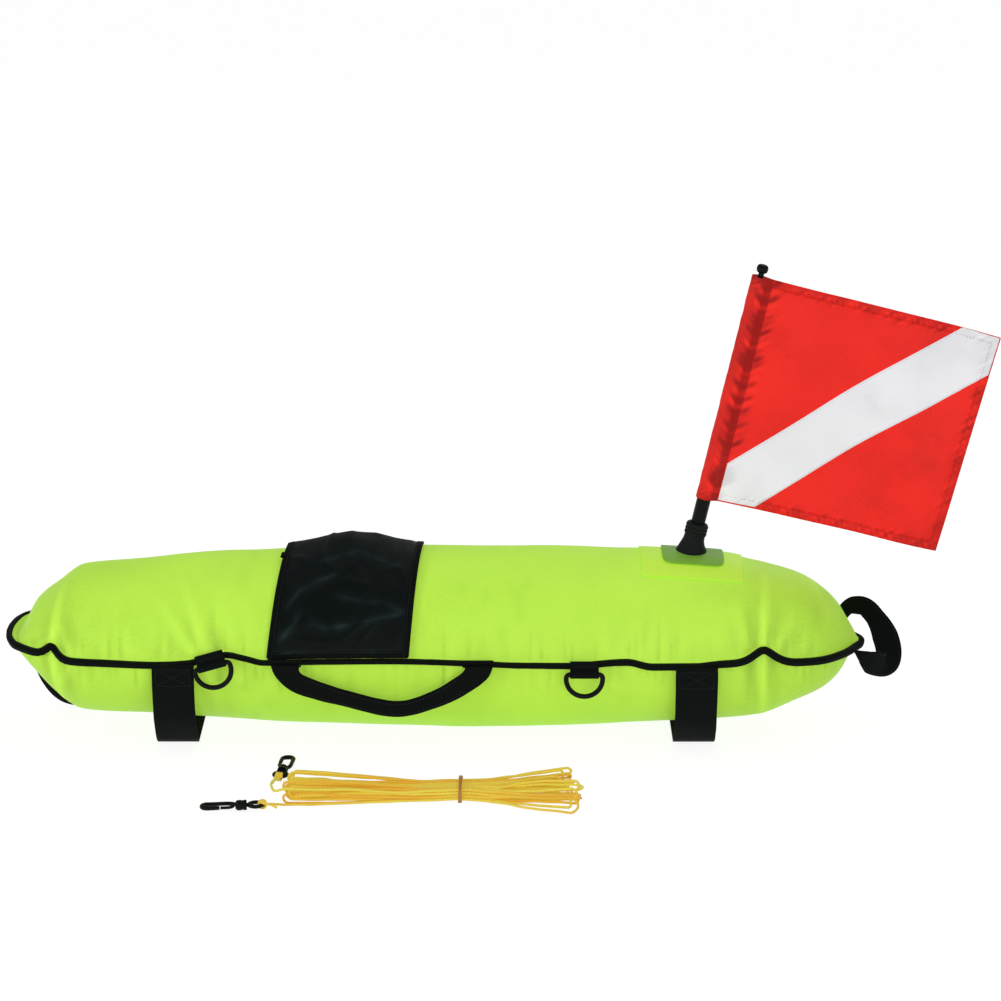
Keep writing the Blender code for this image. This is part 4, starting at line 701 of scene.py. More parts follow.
hank_points = hank_route()
line_start, line_end = hank_points[0], hank_points[-1]
clip_a_place = line_start + np.array((-clip_lead, -clip_lead * 0.35, clip_height - line_start[2]))
clip_b_place = np.array((hank_left_x - clip_lead * 0.55,
                         hank_y + hank_pitch[0] * hank_loops * 0.5 + clip_lead * 0.9, clip_height))
clip_a_way = unit((-1.0, -0.12, 0.0))
clip_b_way = unit((0.1, 1.0, 0.0))


def lead_in(strand_end, eye, way, between):
    """A tail of the line, from a clip's eye to the end of a strand."""
    near = strand_end - np.array((rope_diameter, 0.0, 0.0))
    return [eye] + list(smooth_run([eye - way * rope_diameter] + between + [near, strand_end], 10))


clear_x = hank_left_x - hank_opening[0] - hank_level[0] - rope_diameter * 3
turn_a = line_end + np.array((clear_x - line_end[0] + rope_diameter, rope_diameter, -rope_diameter))
turn_b = np.array((clear_x - rope_diameter, (line_end[1] + clip_b_place[1]) / 2,
                   (line_end[2] + clip_b_place[2]) / 2))
head = lead_in(line_start, clip_a_place, clip_a_way, [])
tail = lead_in(line_end, clip_b_place, clip_b_way, [turn_b, turn_a])
line_route = np.array(head[:-1] + hank_points + tail[::-1][1:])
print("line route:", len(line_route), "points,", round(run_lengths(line_route)[-1], 3), "m")

# %% [markdown]
# ### Round rope on the route
# The solid's route has corners, because it keeps its faces few. The rope that shows runs
# on a smooth curve through the same points, with a ring every 3.5 mm or so. Real rope
# springs a little between the points that hold it, so each strand also wanders by a
# fraction of its diameter, except under the band.

# %% Rope piece
rope_sway = 0.0007
line_path = smooth_run(line_route, 3800)
run = run_lengths(line_path)
sway = np.zeros_like(line_path)
for seed, pitch in ((0.0, 0.021), (40.0, 0.055)):
    for axis in (1, 2):
        sway[:, axis] += wander(run / pitch, seed + 7.0 * axis, 0.5)
calm = np.minimum(1.0, np.abs(line_path[:, 0] - hank_waist_x) / 0.05)
ends = np.minimum(1.0, np.minimum(run, run[-1] - run) / 0.02)
line_path = line_path + sway * (rope_sway * calm * ends)[:, None]
line_path[:, 2] = np.maximum(line_path[:, 2], rope_floor - 0.0001)
float_rope = make_rope("float_rope", line_path, rope_diameter / 2, 8, yellow_rope)

# %% [markdown]
# ## The body's shape
# The float is a torpedo of two covers sewn to each other all round, blown up by a
# bladder. The shape comes from its outlines in side view and in plan, as shares of its
# height and width, with a seam that waves a little and is drawn in at two pillow
# corners. The numbers are the same as those of the solids, so the cloth fits over them.

# %% Outlines of the body
body_start, body_length = -0.5886, 1.0212
body_height, body_width = 0.22, 0.22
axis_height = body_height / 2 + 0.003
seam_lift = 0.011
pucker_rise, pucker_draw = 0.011, 0.012
pucker_places = ((0.0552, 0.011), (0.8813, 0.018))
nose_bows, nose_share = (0.004, 0.003), 0.025
seam_droop = math.radians(22)
lip_width, lip_gap, cover_wall = 0.007, 0.0006, 0.0012
binding_half = lip_gap / 2 + cover_wall + 0.0016
binding_reach = lip_width + 0.0016
# Each row: share along the body, then the rise above and the drop below its axis.
side_outline = (
    (0.0, 0.0, 0.0), (0.0141, 0.17, 0.17), (0.0247, 0.36, 0.3), (0.0552, 0.6, 0.62),
    (0.0823, 0.78, 0.79), (0.1763, 0.87, 0.84), (0.2585, 0.935, 0.91), (0.3408, 0.965, 0.95),
    (0.4818, 1.0, 0.985), (0.5758, 1.0, 1.0), (0.7403, 0.965, 0.95), (0.8402, 0.9, 0.9),
    (0.8813, 0.82, 0.86), (0.925, 0.71, 0.7), (0.9624, 0.5, 0.53), (0.9788, 0.335, 0.38),
    (0.9871, 0.2, 0.24), (1.0, 0.0, 0.0),
)
plan_outline = (
    (0.0, 0.35), (0.007, 0.52), (0.0247, 0.68), (0.0552, 0.86), (0.0823, 0.92), (0.13, 0.95),
    (0.2, 0.975), (0.3, 1.0), (0.62, 1.0), (0.76, 0.99), (0.84, 0.97), (0.8813, 0.93),
    (0.92, 0.83), (0.948, 0.73), (0.9777, 0.46), (1.0, 0.13),
)
seam_waves = (
    (0.0, 0.8), (0.0247, 0.72), (0.05, 0.45), (0.0823, 0.1), (0.1175, 0.0), (0.174, -0.18),
    (0.213, 0.0), (0.241, 0.7), (0.2585, 1.0), (0.282, 0.55), (0.303, 0.1), (0.34, 0.18),
    (0.45, 0.27), (0.55, 0.0), (0.6, -0.18), (0.652, -0.18), (0.7227, 0.27), (0.752, -0.27),
    (0.8026, -0.27), (0.834, 0.0), (0.8813, 0.1), (0.922, -0.27), (0.9777, -0.45), (1.0, -0.55),
)
droops = ((0.0, 0.5), (0.05, 1.0), (0.1, 1.0), (0.3, 0.1), (0.55, 0.1), (0.74, 1.0),
          (0.95, 1.0), (1.0, 0.5))


def curve_through(table, column=1):
    """A smooth function through one column of a table, without overshoot."""
    xs = np.array([row[0] for row in table])
    ys = np.array([row[column] for row in table])
    steps = np.diff(xs)
    slopes = np.diff(ys) / steps
    ends = np.zeros(len(xs))
    ends[0], ends[-1] = slopes[0], slopes[-1]
    for i in range(1, len(xs) - 1):
        if slopes[i - 1] * slopes[i] > 0:
            before, after = 2 * steps[i] + steps[i - 1], steps[i] + 2 * steps[i - 1]
            ends[i] = (before + after) / (before / slopes[i - 1] + after / slopes[i])

    def value(place):
        at = np.clip(place, xs[0], xs[-1])
        i = np.minimum(np.searchsorted(xs, at, side="right") - 1, len(xs) - 2)
        t = (at - xs[i]) / steps[i]
        rest = 1 - t
        return (ys[i] * (1 + 2 * t) * rest * rest + ys[i + 1] * t * t * (3 - 2 * t)
                + steps[i] * (ends[i] * t * rest * rest - ends[i + 1] * t * t * rest))

    return value


half_share, seam_share, droop_share = (curve_through(table) for table in (plan_outline, seam_waves, droops))
rise_share, drop_share = curve_through(side_outline, 1), curve_through(side_outline, 2)


def skin(along, turn, side, out=0.0):
    """Points on the covers; turn runs from 0 at the front seam, over the back, to pi."""
    along, turn, out = np.broadcast_arrays(np.asarray(along, float), np.asarray(turn, float),
                                           np.asarray(out, float))
    half = body_width / 2 * half_share(along)
    height = side * body_height / 2 * (rise_share if side > 0 else drop_share)(along)
    seam = seam_lift * seam_share(along)
    drawn = sum(np.exp(-((along - at) * body_length / spread) ** 2) for at, spread in pucker_places)
    edge = (1 - np.sin(turn)) ** 2
    across = -np.cos(turn) * (half + out - pucker_draw * drawn * edge)
    up = seam * (1 - np.sin(turn)) + (height + side * out) * np.sin(turn) + pucker_rise * drawn * edge
    bow = nose_bows[0] * np.maximum(0.0, 1 - along / nose_share)
    bow = bow - nose_bows[1] * np.maximum(0.0, 1 - (1 - along) / nose_share)
    x = body_start + along * body_length + bow * np.cos(turn) ** 2
    return np.stack((x, across, axis_height + up), axis=-1)


def along_of(x):
    return (np.asarray(x, float) - body_start) / body_length


def top_height(x, y):
    """Height of the top cover over places on the plan."""
    half = body_width / 2 * half_share(along_of(x))
    turn = np.arccos(np.clip(-np.asarray(y, float) / half, -1.0, 1.0))
    return skin(along_of(x), turn, 1)[..., 2]


print("widest:", round(float(skin(0.5, 0.0, 1)[1]), 4), "highest:", round(float(top_height(0.0, 0.0)), 4))

# %% [markdown]
# ## The cloth of the covers
# Blown-up cloth is never smooth. Its seams are shorter than the panels, so the nylon gathers into small wrinkles that
# run out from the seam, with two strong ridges at the pillow corners and soft diagonal folds at the front ring.
# Blender's cloth solver makes the small ones: the closed shape is given more cloth than it needs, its seam is pinned,
# and air pressure blows it out. Only the fine part of the result is kept, so that the outline stays what the photograph
# shows. The big ridges are then raised one by one, from a table.

# %% Grid of the covers
station_count = 230
turn_count = 48
station_places = np.linspace(0.0, 1.0, station_count)
turn_places = np.linspace(0.0, math.pi, turn_count + 1)


def cover_grid(side):
    return skin(station_places[:, None], turn_places[None, :], side)


def blurred(values, reach):
    """A moving average over a grid, which takes its fine wrinkles away."""
    kernel = np.hanning(2 * reach + 3)[1:-1]
    kernel = kernel / kernel.sum()
    for axis in (0, 1):
        pad = [(0, 0), (0, 0)]
        pad[axis] = (reach, reach)
        wide = np.pad(values, pad, mode="reflect")
        values = np.apply_along_axis(lambda row: np.convolve(row, kernel, "valid"), axis, wide)
    return values


def gathered_cloth():
    """How far the solver moves each grid point out, for the top and for the bottom cover."""
    top, bottom = cover_grid(1), cover_grid(-1)
    rows, columns = top.shape[:2]
    number = np.arange(rows * columns).reshape(rows, columns)
    rim = np.ones((rows, columns), bool)
    rim[1:-1, 1:-1] = False
    lower = np.where(rim, number, rows * columns + np.cumsum(~rim).reshape(rows, columns) - 1)
    points = np.vstack((top.reshape(-1, 3), bottom[~rim]))
    faces = grid_faces(rows, columns)
    flat = lower.reshape(-1)
    faces += [tuple(int(flat[i]) for i in face[::-1]) for face in faces]
    shell = face_outward(make_piece("cloth_trial", points, faces, green_cloth))
    held = shell.vertex_groups.new(name="held")
    held.add([int(i) for i in number[rim]], 1.0, "REPLACE")
    settings = shell.modifiers.new("cloth", "CLOTH").settings
    for name, value in (("quality", 6), ("mass", 0.12), ("tension_stiffness", 40.0), ("compression_stiffness", 40.0),
                        ("shear_stiffness", 12.0), ("bending_stiffness", 0.02), ("use_pressure", True),
                        ("uniform_pressure_force", 4.0), ("shrink_min", -0.022), ("vertex_group_mass", "held")):
        setattr(settings, name, value)
    settings.effector_weights.gravity = 0.0
    for frame_number in range(1, 21):
        scene.frame_set(frame_number)
    solved = shell.evaluated_get(bpy.context.evaluated_depsgraph_get())
    moved, normals = np.zeros((2, len(points) * 3))
    solved.data.vertices.foreach_get("co", moved)
    shell.data.vertices.foreach_get("normal", normals)
    out = np.sum((moved.reshape(-1, 3) - points) * normals.reshape(-1, 3), axis=1)
    out[~np.isfinite(out)] = 0.0
    bpy.data.objects.remove(shell, do_unlink=True)
    scene.frame_set(1)
    return out[number], out[lower]


wrinkles = [np.zeros((station_count, turn_count + 1)) for _ in range(2)]
near_seam = 0.18 + 0.62 * np.exp(-np.minimum(turn_places, math.pi - turn_places) / 0.28)
wrinkles = [blurred(np.clip(out - blurred(out, 9), -0.002, 0.002), 1) * 0.5 * near_seam
            for out in gathered_cloth()]
print("wrinkles of the top cover, in mm:", [round(float(v) * 1000, 2) for v in
                                            (wrinkles[0].min(), wrinkles[0].std(), wrinkles[0].max())])

# %% [markdown]
# ### Ridges and folds, one by one
# At the two pillow corners the seam is drawn in, and a sharp ridge runs from it up over
# the cover and down below it. Around the front ring and beside the straps lie softer
# slanting folds. Each is a narrow bump along a line on the cover, given by where it
# crosses the seam, how it leans, and how far up it reaches.

# %% Ridges, gathers and the finished surface
folds = (
    # place, lean, width, height, reach up the cover, on the top, on the bottom
    (0.0552, 0.006, 0.0042, 0.0055, 1.45, True, True),
    (0.07, 0.01, 0.012, -0.0016, 1.1, True, True),
    (0.079, -0.03, 0.005, 0.0014, 0.8, True, True),
    (0.8805, 0.004, 0.0036, 0.006, 1.4, True, True),
    (0.87, -0.035, 0.006, 0.0016, 0.85, True, False),
    (0.893, 0.035, 0.006, 0.0016, 0.85, True, False),
    (0.868, -0.006, 0.01, -0.0022, 1.05, True, True),
    (0.896, 0.006, 0.012, -0.0016, 0.95, True, True),
    (0.238, -0.03, 0.005, 0.0042, 1.1, True, False),
    (0.226, -0.06, 0.005, 0.003, 0.85, True, False),
    (0.248, -0.01, 0.008, -0.0026, 0.9, True, True),
    (0.242, 0.004, 0.005, 0.0038, 0.95, False, True),
    (0.23, 0.03, 0.0045, 0.0026, 0.7, False, True),
    (0.15, -0.02, 0.01, 0.001, 0.6, True, True),
    (0.52, 0.01, 0.011, 0.0008, 0.55, True, True),
    (0.7, -0.012, 0.011, 0.0009, 0.6, True, True),
)
# Where patches and tapes lie close on the top cover: centre along it, half length, half width.
covered_spots = ((-0.178, 0.03, 0.03), (0.23, 0.07, 0.066), (0.418, 0.032, 0.08))
# How deep a hollow, or how high a ridge, must be for full painted shade or painted highlight.
painted_light_depth = 0.0024


def fold_height(along, up, top):
    """Raised and sunk folds, the same on the front and the rear of the cover."""
    total = np.zeros(np.broadcast(along, up).shape)
    for place, lean, width, height, reach, on_top, on_bottom in folds:
        if on_top if top else on_bottom:
            away = (along - place - lean * up) * body_length
            fade = np.clip(1 - up / reach, 0.0, 1.0)
            total = total + height * fade ** 1.2 * np.exp(-np.abs(away) / width) * np.clip(up / 0.05, 0, 1)
    return total


def gathers(along, up, seed):
    """Wrinkles square to the seam, of unequal length and strength, which fade up the cover."""
    run = along * body_length
    reach = 0.55 + 0.35 * wander(run / 0.05, seed + 3.0)
    strong = 0.75 + 0.9 * wander(run / 0.09, seed + 6.0)
    wave = wander(run / 0.0072, up * 0.7, seed) + 0.45 * wander(run / 0.0045, up * 1.6, seed + 9.0)
    made = wave * np.maximum(0.15, strong) * np.maximum(0.0, 1 - up / reach) ** 1.3
    return made * 0.0015 * np.clip(up / 0.05, 0, 1)


def soft_dents(along, turn, seed):
    """Broad, shallow unevenness of blown-up cloth."""
    return wander(along * body_length / 0.085, turn * 1.3, seed) * 0.0016 * np.sin(turn) ** 0.5


def free_share(grid):
    """How free the top cover is to wrinkle: 0 where something lies close on it."""
    x, y = grid[..., 0], grid[..., 1]
    free = np.ones(x.shape)
    for centre, half_x, half_y in covered_spots:
        away = np.maximum(np.abs(x - centre) / half_x, np.abs(y) / half_y)
        free = np.minimum(free, np.clip((away - 0.85) / 0.4, 0.0, 1.0))
    return free * (0.25 + 0.75 * np.clip((np.abs(x + 0.187) - 0.08) / 0.03, 0.0, 1.0))


def cloth_skin(side, wrinkle):
    """The finished outer surface of one cover, as a grid of points, and its painted light: painted shade and highlight
    per point.
    """
    top = side > 0
    along, turn = station_places[:, None], turn_places[None, :]
    up = np.minimum(turn, math.pi - turn)
    grid = cover_grid(side)
    out = wrinkle + gathers(along, up, 3.0 if top else 30.0) + soft_dents(along, turn, 5.0 * side)
    out = out + fold_height(along, up, top)
    if top:
        out = out * free_share(grid)
    normal = unit(np.cross(np.gradient(grid, axis=0), np.gradient(grid, axis=1)))
    facing = normal[..., 1] * grid[..., 1] + normal[..., 2] * (grid[..., 2] - axis_height)
    normal = normal * np.where(facing < 0, -1.0, 1.0)[..., None]
    edge = np.ones(out.shape)
    edge[0] = edge[-1] = edge[:, 0] = edge[:, -1] = 0.0
    edge[1] = edge[-2] = 0.5
    # Painted shade in the hollows and painted highlight on the ridges, from how far the cloth stands off its blurred
    # self.
    crease = np.clip((out - blurred(out, 4)) * edge / painted_light_depth, -0.5, 0.7)
    # Painted shade towards both ends of the body, more at the right end, and a trace of painted shade all over.
    ends = np.clip((np.abs(along - 0.5) - 0.28) / 0.22, 0.0, 1.0) ** 1.4
    ends = ends * np.where(along > 0.5, 0.3, 0.22)
    return grid + normal * (out * edge)[..., None], crease - ends - 0.01


cloth_top, cloth_bottom = cloth_skin(1, wrinkles[0]), cloth_skin(-1, wrinkles[1])
print("cloth surface:", station_count, "by", turn_count + 1, "points a cover")

# %% [markdown]
# ### The seam
# The covers meet in a flat lip all round. The lip droops a little where the body is
# slack, so its direction is worked out once at every point of the seam loop and used for
# the lips, the edge tape and its stitches.

# %% Seam loop


def seam_loop():
    """The seam's points all round, and where along the body each one is."""
    front, rear = skin(station_places, 0.0, 1), skin(station_places[::-1], math.pi, 1)
    right, left = skin(1.0, turn_places[1:-1], 1), skin(0.0, turn_places[1:-1][::-1], 1)
    for tip, at in ((right, 1.0), (left, 0.0)):
        tip[:, 2] = axis_height + seam_lift * seam_share(at)
    places = (station_places, np.ones(len(right)), station_places[::-1], np.zeros(len(left)))
    return np.vstack((front, right, rear, left)), np.concatenate(places)


def lip_ways(way, along):
    """The lip's directions out and up, where the seam runs one way at one place or at many."""
    droop = np.expand_dims(seam_droop * droop_share(along), -1)
    outward = np.cos(droop) * unit(np.cross(way, up_way)) - np.sin(droop) * up_way
    return outward, unit(np.cross(outward, way))


seam_points, seam_at = seam_loop()
seam_out, seam_up = lip_ways(tangents_of(seam_points, closed=True), seam_at)
seam_run = run_lengths(np.vstack((seam_points, seam_points[:1])))
print("seam:", len(seam_points), "points,", round(float(seam_run[-1]), 3), "m round")

# %% [markdown]
# ### Two covers with their lips
# Each cover is one grid with a rim of lip added round its edge, given a wall inward and smoothed once. Both ride on the
# float and stand for the plain solid covers. They hold air through the bladder.

# %% Cover pieces


def make_cover(name, side, grid, crease, solid):
    rows, columns = grid.shape[:2]
    points = grid.copy()
    order = [(i, 0) for i in range(rows)] + [(rows - 1, j) for j in range(1, columns - 1)]
    order += [(i, columns - 1) for i in reversed(range(rows))] + [(0, j) for j in reversed(range(1, columns - 1))]
    rim = tuple(np.array(order).T)
    points[rim] = seam_points + seam_up * side * (lip_gap / 2 + cover_wall)
    number, first, count = [i * columns + j for i, j in order], rows * columns, len(order)
    faces = grid_faces(rows, columns)
    faces += [(number[k], number[(k + 1) % count], first + (k + 1) % count, first + k) for k in range(count)]
    around = turn_places * body_width / 2 * 1.15
    uv = np.stack(np.broadcast_arrays(station_places[:, None] * body_length, around[None, :]), -1)
    made = make_piece(name, np.vstack((points.reshape(-1, 3), points[rim] + seam_out * lip_width)), faces,
                      green_cloth, np.vstack((uv.reshape(-1, 2), uv[rim] - (0.0, lip_width))),
                      np.concatenate((crease.ravel(), np.zeros(count))))
    face_outward(made)
    if made.data.polygons[(rows // 2) * (columns - 1) + columns // 2].normal.z * side < 0:
        made.data.flip_normals()
    rounder = made.modifiers.new("rounder", "SUBSURF")
    rounder.levels = rounder.render_levels = 1
    thicken(made, cover_wall)
    settle(made, "float", solid)
    print(name, len(made.data.polygons), "faces")


make_cover("top_cloth", 1, *cloth_top, "cover_top")
make_cover("bottom_cloth", -1, *cloth_bottom, "cover_bottom")

# %% [markdown]
# ### Edge tape
# A folded tape hides the raw lips. It is a flat U with a round nose, and being a stiff
# straight tape on a curved edge it ripples: its reach and thickness wander a little.
# Two rows of stitches, one a side, hold it on. Two short helpers serve this tape and all
# the webbing after it: `sew` lays a row of thread and `band` a ribbon of webbing.

# %% Edge tape and its stitches


def sew(name, body, line, outward, slot="black_webbing", finish=black_thread, **sizes):
    return settle(make_stitches(name, line, outward, finish, **sizes), body)


def band(name, body, path, wide, width, wall, solid=None, finish=black_webbing, **shape):
    return settle(make_ribbon(name, path, wide, width, wall, finish, **shape), body, solid)


full = np.clip(np.abs(seam_at - 0.47) / 0.3 - 0.55, 0.0, 1.0)
tape_half = binding_half * (0.86 + 0.3 * full) + 0.00015 * wander(seam_run[:-1] / 0.012, 1.0)
tape_reach = binding_reach * (0.96 + 0.04 * full) + 0.0003 * wander(seam_run[:-1] / 0.017, 2.0)
tape_inner = 0.0011
tape_section = [(share, 1.0) for share in (0.0, 0.3, 0.62, 0.86)]
tape_section += [(0.86 + 0.14 * math.cos(a), math.sin(a)) for a in (math.pi / 2 * (1 - k / 3) for k in range(1, 6))]
tape_section += [(share, -1.0) for share in (0.86, 0.62, 0.3, 0.0)]
tape_grid = np.stack([seam_points + seam_out * (tape_inner + (tape_reach - tape_inner) * share)[:, None]
                      + seam_up * (tape_half * lift * (0.94 if share in (0.3, 0.62) else 1.0))[:, None]
                      for share, lift in tape_section], axis=1)
tape_uv = np.stack(np.broadcast_arrays(seam_run[:-1, None], run_lengths(tape_grid[0])[None, :]), -1)
seam_tape = make_swept("seam_tape", tape_grid, tape_uv, edge_tape, closed=True, flip=False)
settle(seam_tape, "float", "seam_binding")
for name, way in (("tape_stitches_upper", 1.0), ("tape_stitches_lower", -1.0)):
    sew(name, "float", seam_points + seam_out * 0.0032 + seam_up * (way * tape_half * 0.97)[:, None],
        seam_up * way, closed=True)
print(seam_tape.name, len(seam_tape.data.polygons), "faces")

# %% [markdown]
# ## The valve flap
# A black nylon panel lies over the inflation valve. It is sewn down behind, stands in a
# hump over the valve, and its front edge stops just above the seam. The panel is a sheet
# with soft creases that run from the hump to the corners, its side edges are bound with
# narrow tape, and a line of stitches runs across near its front hem.

# %% Flap panel
flap_left, flap_right = -0.279, -0.094
flap_peak = -0.178
flap_turns = (math.radians(3), math.radians(110))
flap_peak_turn, flap_hump_turn = math.radians(91), math.radians(42)
flap_lift, flap_hump, flap_wall, seat_gap = 0.0038, 0.0175, 0.0015, 0.0005
flap_size = (0.175, 0.215)
flap_columns, flap_rows = 72, 92
flap_share = np.linspace(0.0, 1.0, flap_columns + 1)[:, None]
flap_turn = np.linspace(*flap_turns, flap_rows + 1)[None, :]
# Where the flap takes a painted sheen, pale streaks of painted highlight along its folds: strength, then places across
# (share) and up (turn).
sheen_folds = (
    (0.55, ((0.1, 0.62), (0.17, 0.79), (0.28, 0.9), (0.4, 0.97))),
    (0.75, ((0.06, 0.2), (0.14, 0.38), (0.2, 0.5), (0.27, 0.42), (0.4, 0.36), (0.58, 0.4),
            (0.78, 0.47), (0.92, 0.5))),
    (0.4, ((0.45, 0.72), (0.6, 0.66), (0.8, 0.62), (0.95, 0.52))),
    (0.45, ((0.06, 0.06), (0.2, 0.13), (0.28, 0.08), (0.5, 0.05), (0.8, 0.1))),
    (0.35, ((0.1, 1.25), (0.3, 1.15), (0.55, 1.25), (0.85, 1.1))),
)
sheen_scale = (flap_size[0], 0.105)


def flap_side(share, turn):
    up = np.minimum(1.0, turn / (math.pi / 2))
    left, right = flap_left + 0.003 + 0.021 * up, flap_right - 0.016 * (1 - up)
    return left + (right - left) * share


def flap_lift_at(x, turn):
    hinge_share = (turn - flap_peak_turn) / (flap_turns[1] - flap_peak_turn)
    base = flap_lift + (seat_gap - flap_lift) * np.maximum(0.0, hinge_share)
    reach = np.where(x > flap_peak, flap_right - flap_peak, flap_peak - flap_left) * 0.92
    along = np.maximum(0.0, 1 - np.abs(x - flap_peak) / reach)
    away = np.where(turn > flap_peak_turn, hinge_share, (flap_peak_turn - turn) / flap_hump_turn)
    return base + flap_hump * along ** 0.9 * ease(1 - np.abs(away))


def flap_creases(share, turn):
    """Soft creases that fan out from the hump, and crumples in the lower part."""
    warp = 0.25 * wander(share * 2.0, turn * 1.6, 4.0)
    folded = 1 - np.abs(wander(share * 3.1 + warp * 3, turn * 2.3 - share * 1.4, 11.0)) * 2.2
    made = 0.002 * np.maximum(0.0, folded) ** 3 + 0.0007 * wander(share * 9.0, turn * 6.0 + share * 4.0, 2.0)
    fade = np.clip((flap_turns[1] - turn) / 0.25, 0, 1) * np.clip((turn - flap_turns[0]) / 0.1, 0.25, 1)
    return made * fade * np.clip(4 * share * (1 - share) * 2.0, 0.15, 1)


def flap_sheen(share, turn):
    """Painted sheen: pale streaks of painted highlight along the folds, broken up by noise."""
    flat = np.stack(np.broadcast_arrays(share * sheen_scale[0], turn * sheen_scale[1]), -1)
    made = np.zeros(flat.shape[:2])
    for strength, spots in sheen_folds:
        spots = np.array(spots) * sheen_scale
        away = np.ones(made.shape)
        for a, b in zip(spots, spots[1:]):
            along = np.clip(np.sum((flat - a) * (b - a), -1) / np.sum((b - a) ** 2), 0.0, 1.0)
            away = np.minimum(away, np.linalg.norm(flat - a - along[..., None] * (b - a), axis=-1))
        made = made + strength * (np.exp(-(away / 0.0022) ** 2) + 0.45 * np.exp(-(away / 0.007) ** 2))
    x, y = flat[..., 0] / 0.016, flat[..., 1] / 0.013
    made = made * (0.55 + 0.9 * wander(x, y, 7.0)) + 0.05 * wander(x * 3.0, y * 3.0, 21.0)
    return np.clip(made, -0.2, 1.0)


flap_x = flap_side(flap_share, flap_turn)
flap_grid = skin(along_of(flap_x), flap_turn, 1,
                 flap_lift_at(flap_x, flap_turn) + flap_wall + flap_creases(flap_share, flap_turn))
flap_uv = np.stack(np.meshgrid(np.linspace(0, flap_size[0], flap_columns + 1),
                               np.linspace(0, flap_size[1], flap_rows + 1), indexing="ij"), -1)
# The painted sheen goes on the flap per point, as painted highlight.
flap_panel = make_sheet("flap_panel", flap_grid, flap_uv, black_cloth, 0.001, flip=True,
                        crease=flap_sheen(flap_share, flap_turn))
settle(flap_panel, "flap", "valve_flap")
print("flap panel:", len(flap_panel.data.polygons), "faces")

# %% [markdown]
# ### Bound edges and hem of the flap
# The tape on the flap's side edges is a flat ribbon folded over the cloth, 8.5 mm wide.
# The hem is held by a row of stitches 9 mm up from the front edge, and a folded end of
# tape sticks out where the left tape was joined.

# %% Flap tapes and stitches
hem_row = 4
flap_tape_width, front_tape_width, flap_tape_wall, flap_tape_sink = 0.0085, 0.006, 0.0022, 0.0004
fold_turn = math.radians(75)
fold_shape = ((-0.0015, 0.001), (0.0018, 0.002), (0.0036, 0.001), (0.0024, -0.0003), (-0.001, -0.0004))


def edge_path(column):
    """One side of the flap, with the way across it and off it."""
    line = flap_grid[column]
    across = unit(flap_grid[1 if column == 0 else -2] - line)
    off = unit(np.cross(across, tangents_of(line)))
    inward = off[:, 1] * line[:, 1] + off[:, 2] * (line[:, 2] - axis_height) < 0
    return line, across, off * np.where(inward, -1.0, 1.0)[:, None]


for name, column in (("flap_tape_left", 0), ("flap_tape_right", -1)):
    line, across, off = edge_path(column)
    line = line + across * 0.003
    band(name, "flap", line - off * flap_tape_sink, across, flap_tape_width, flap_tape_wall, finish=edge_tape,
         corner=0.45)
    sew(name + "_stitches", "flap", line + off * 0.0007 + across * 0.0022, off)
line, across, off = edge_path(0)
spot = round(flap_rows * (fold_turn - flap_turns[0]) / (flap_turns[1] - flap_turns[0]))
fold_path = [line[spot] - across[spot] * away + off[spot] * lift for away, lift in fold_shape]
band("flap_tape_fold", "flap", smooth_run(fold_path, 24), tangents_of(line)[spot], 0.009, 0.001, finish=edge_tape)
front_line = flap_grid[:, 0]
front_way = unit(flap_grid[:, 1] - front_line)
front_off = unit(np.cross(tangents_of(front_line), front_way))
front_off = front_off * np.where(front_off[:, 1] > 0, -1.0, 1.0)[:, None]
band("flap_tape_front", "flap", front_line + front_way * 0.0012 - front_off * flap_tape_sink, front_way,
     front_tape_width, flap_tape_wall, finish=edge_tape, corner=0.45)
sew("flap_hem_stitches", "flap", flap_grid[2:-2, hem_row] + front_off[2:-2] * 0.0002, front_off[2:-2])
print("flap tapes and stitches made")

# %% [markdown]
# ### Hook and loop tapes
# A strip of hook tape under the flap's front grips a strip of loop tape on the cover.
# Both only show when the flap is lifted. Their solids are already right, so they get a
# fuzzy finish instead of a new mesh. The bladder and the flag's rod are done the same way.

# %% Hook and loop finishes


def fuzzy(name, scale, depth, colour, worn):
    finish = Finish(name)
    pile = finish.noise(scale, 4.0, 0.8)
    tint = finish.mix(pile, colour, worn)
    return finish.surface(Base_Color=tint, Roughness=0.9, Normal=finish.bump(pile, depth))


hook_pile = fuzzy("hook_pile", 2200.0, 0.0004, (0.004, 0.004, 0.004), (0.05, 0.05, 0.05))
loop_pile = fuzzy("loop_pile", 900.0, 0.0006, (0.006, 0.006, 0.006), (0.04, 0.04, 0.045))
for node, finish in (("flap_hook_tape", hook_pile), ("flap_loop_tape", loop_pile), ("bladder", bladder_film),
                     ("flag_top_rod", black_plastic)):
    for slot in frame["nodes"][node].material_slots:
        slot.material = finish
print("tapes, bladder and rod finished")

# %% [markdown]
# ## Straps that start at the seam
# Handles, straps and rings are all sewn into the seam. `seam_edge` finds the outer line
# of the edge tape at one place, and `widest_edge` moves it out to the widest point over
# a stretch, so that a flat strap doesn't cut into the wavy tape.

# %% Places on the seam
strap_gap = 0.0005


def seam_edge(along, rear=False):
    """The tape's outer line, its way out, its way up and its run at one place."""
    turn = math.pi if rear else 0.0
    before, after = skin(max(along - 0.001, 0.0), turn, 1), skin(min(along + 0.001, 1.0), turn, 1)
    way = unit(before - after) if rear else unit(after - before)
    outward, upward = lip_ways(way, along)
    return skin(along, turn, 1) + outward * binding_reach, outward, upward, way


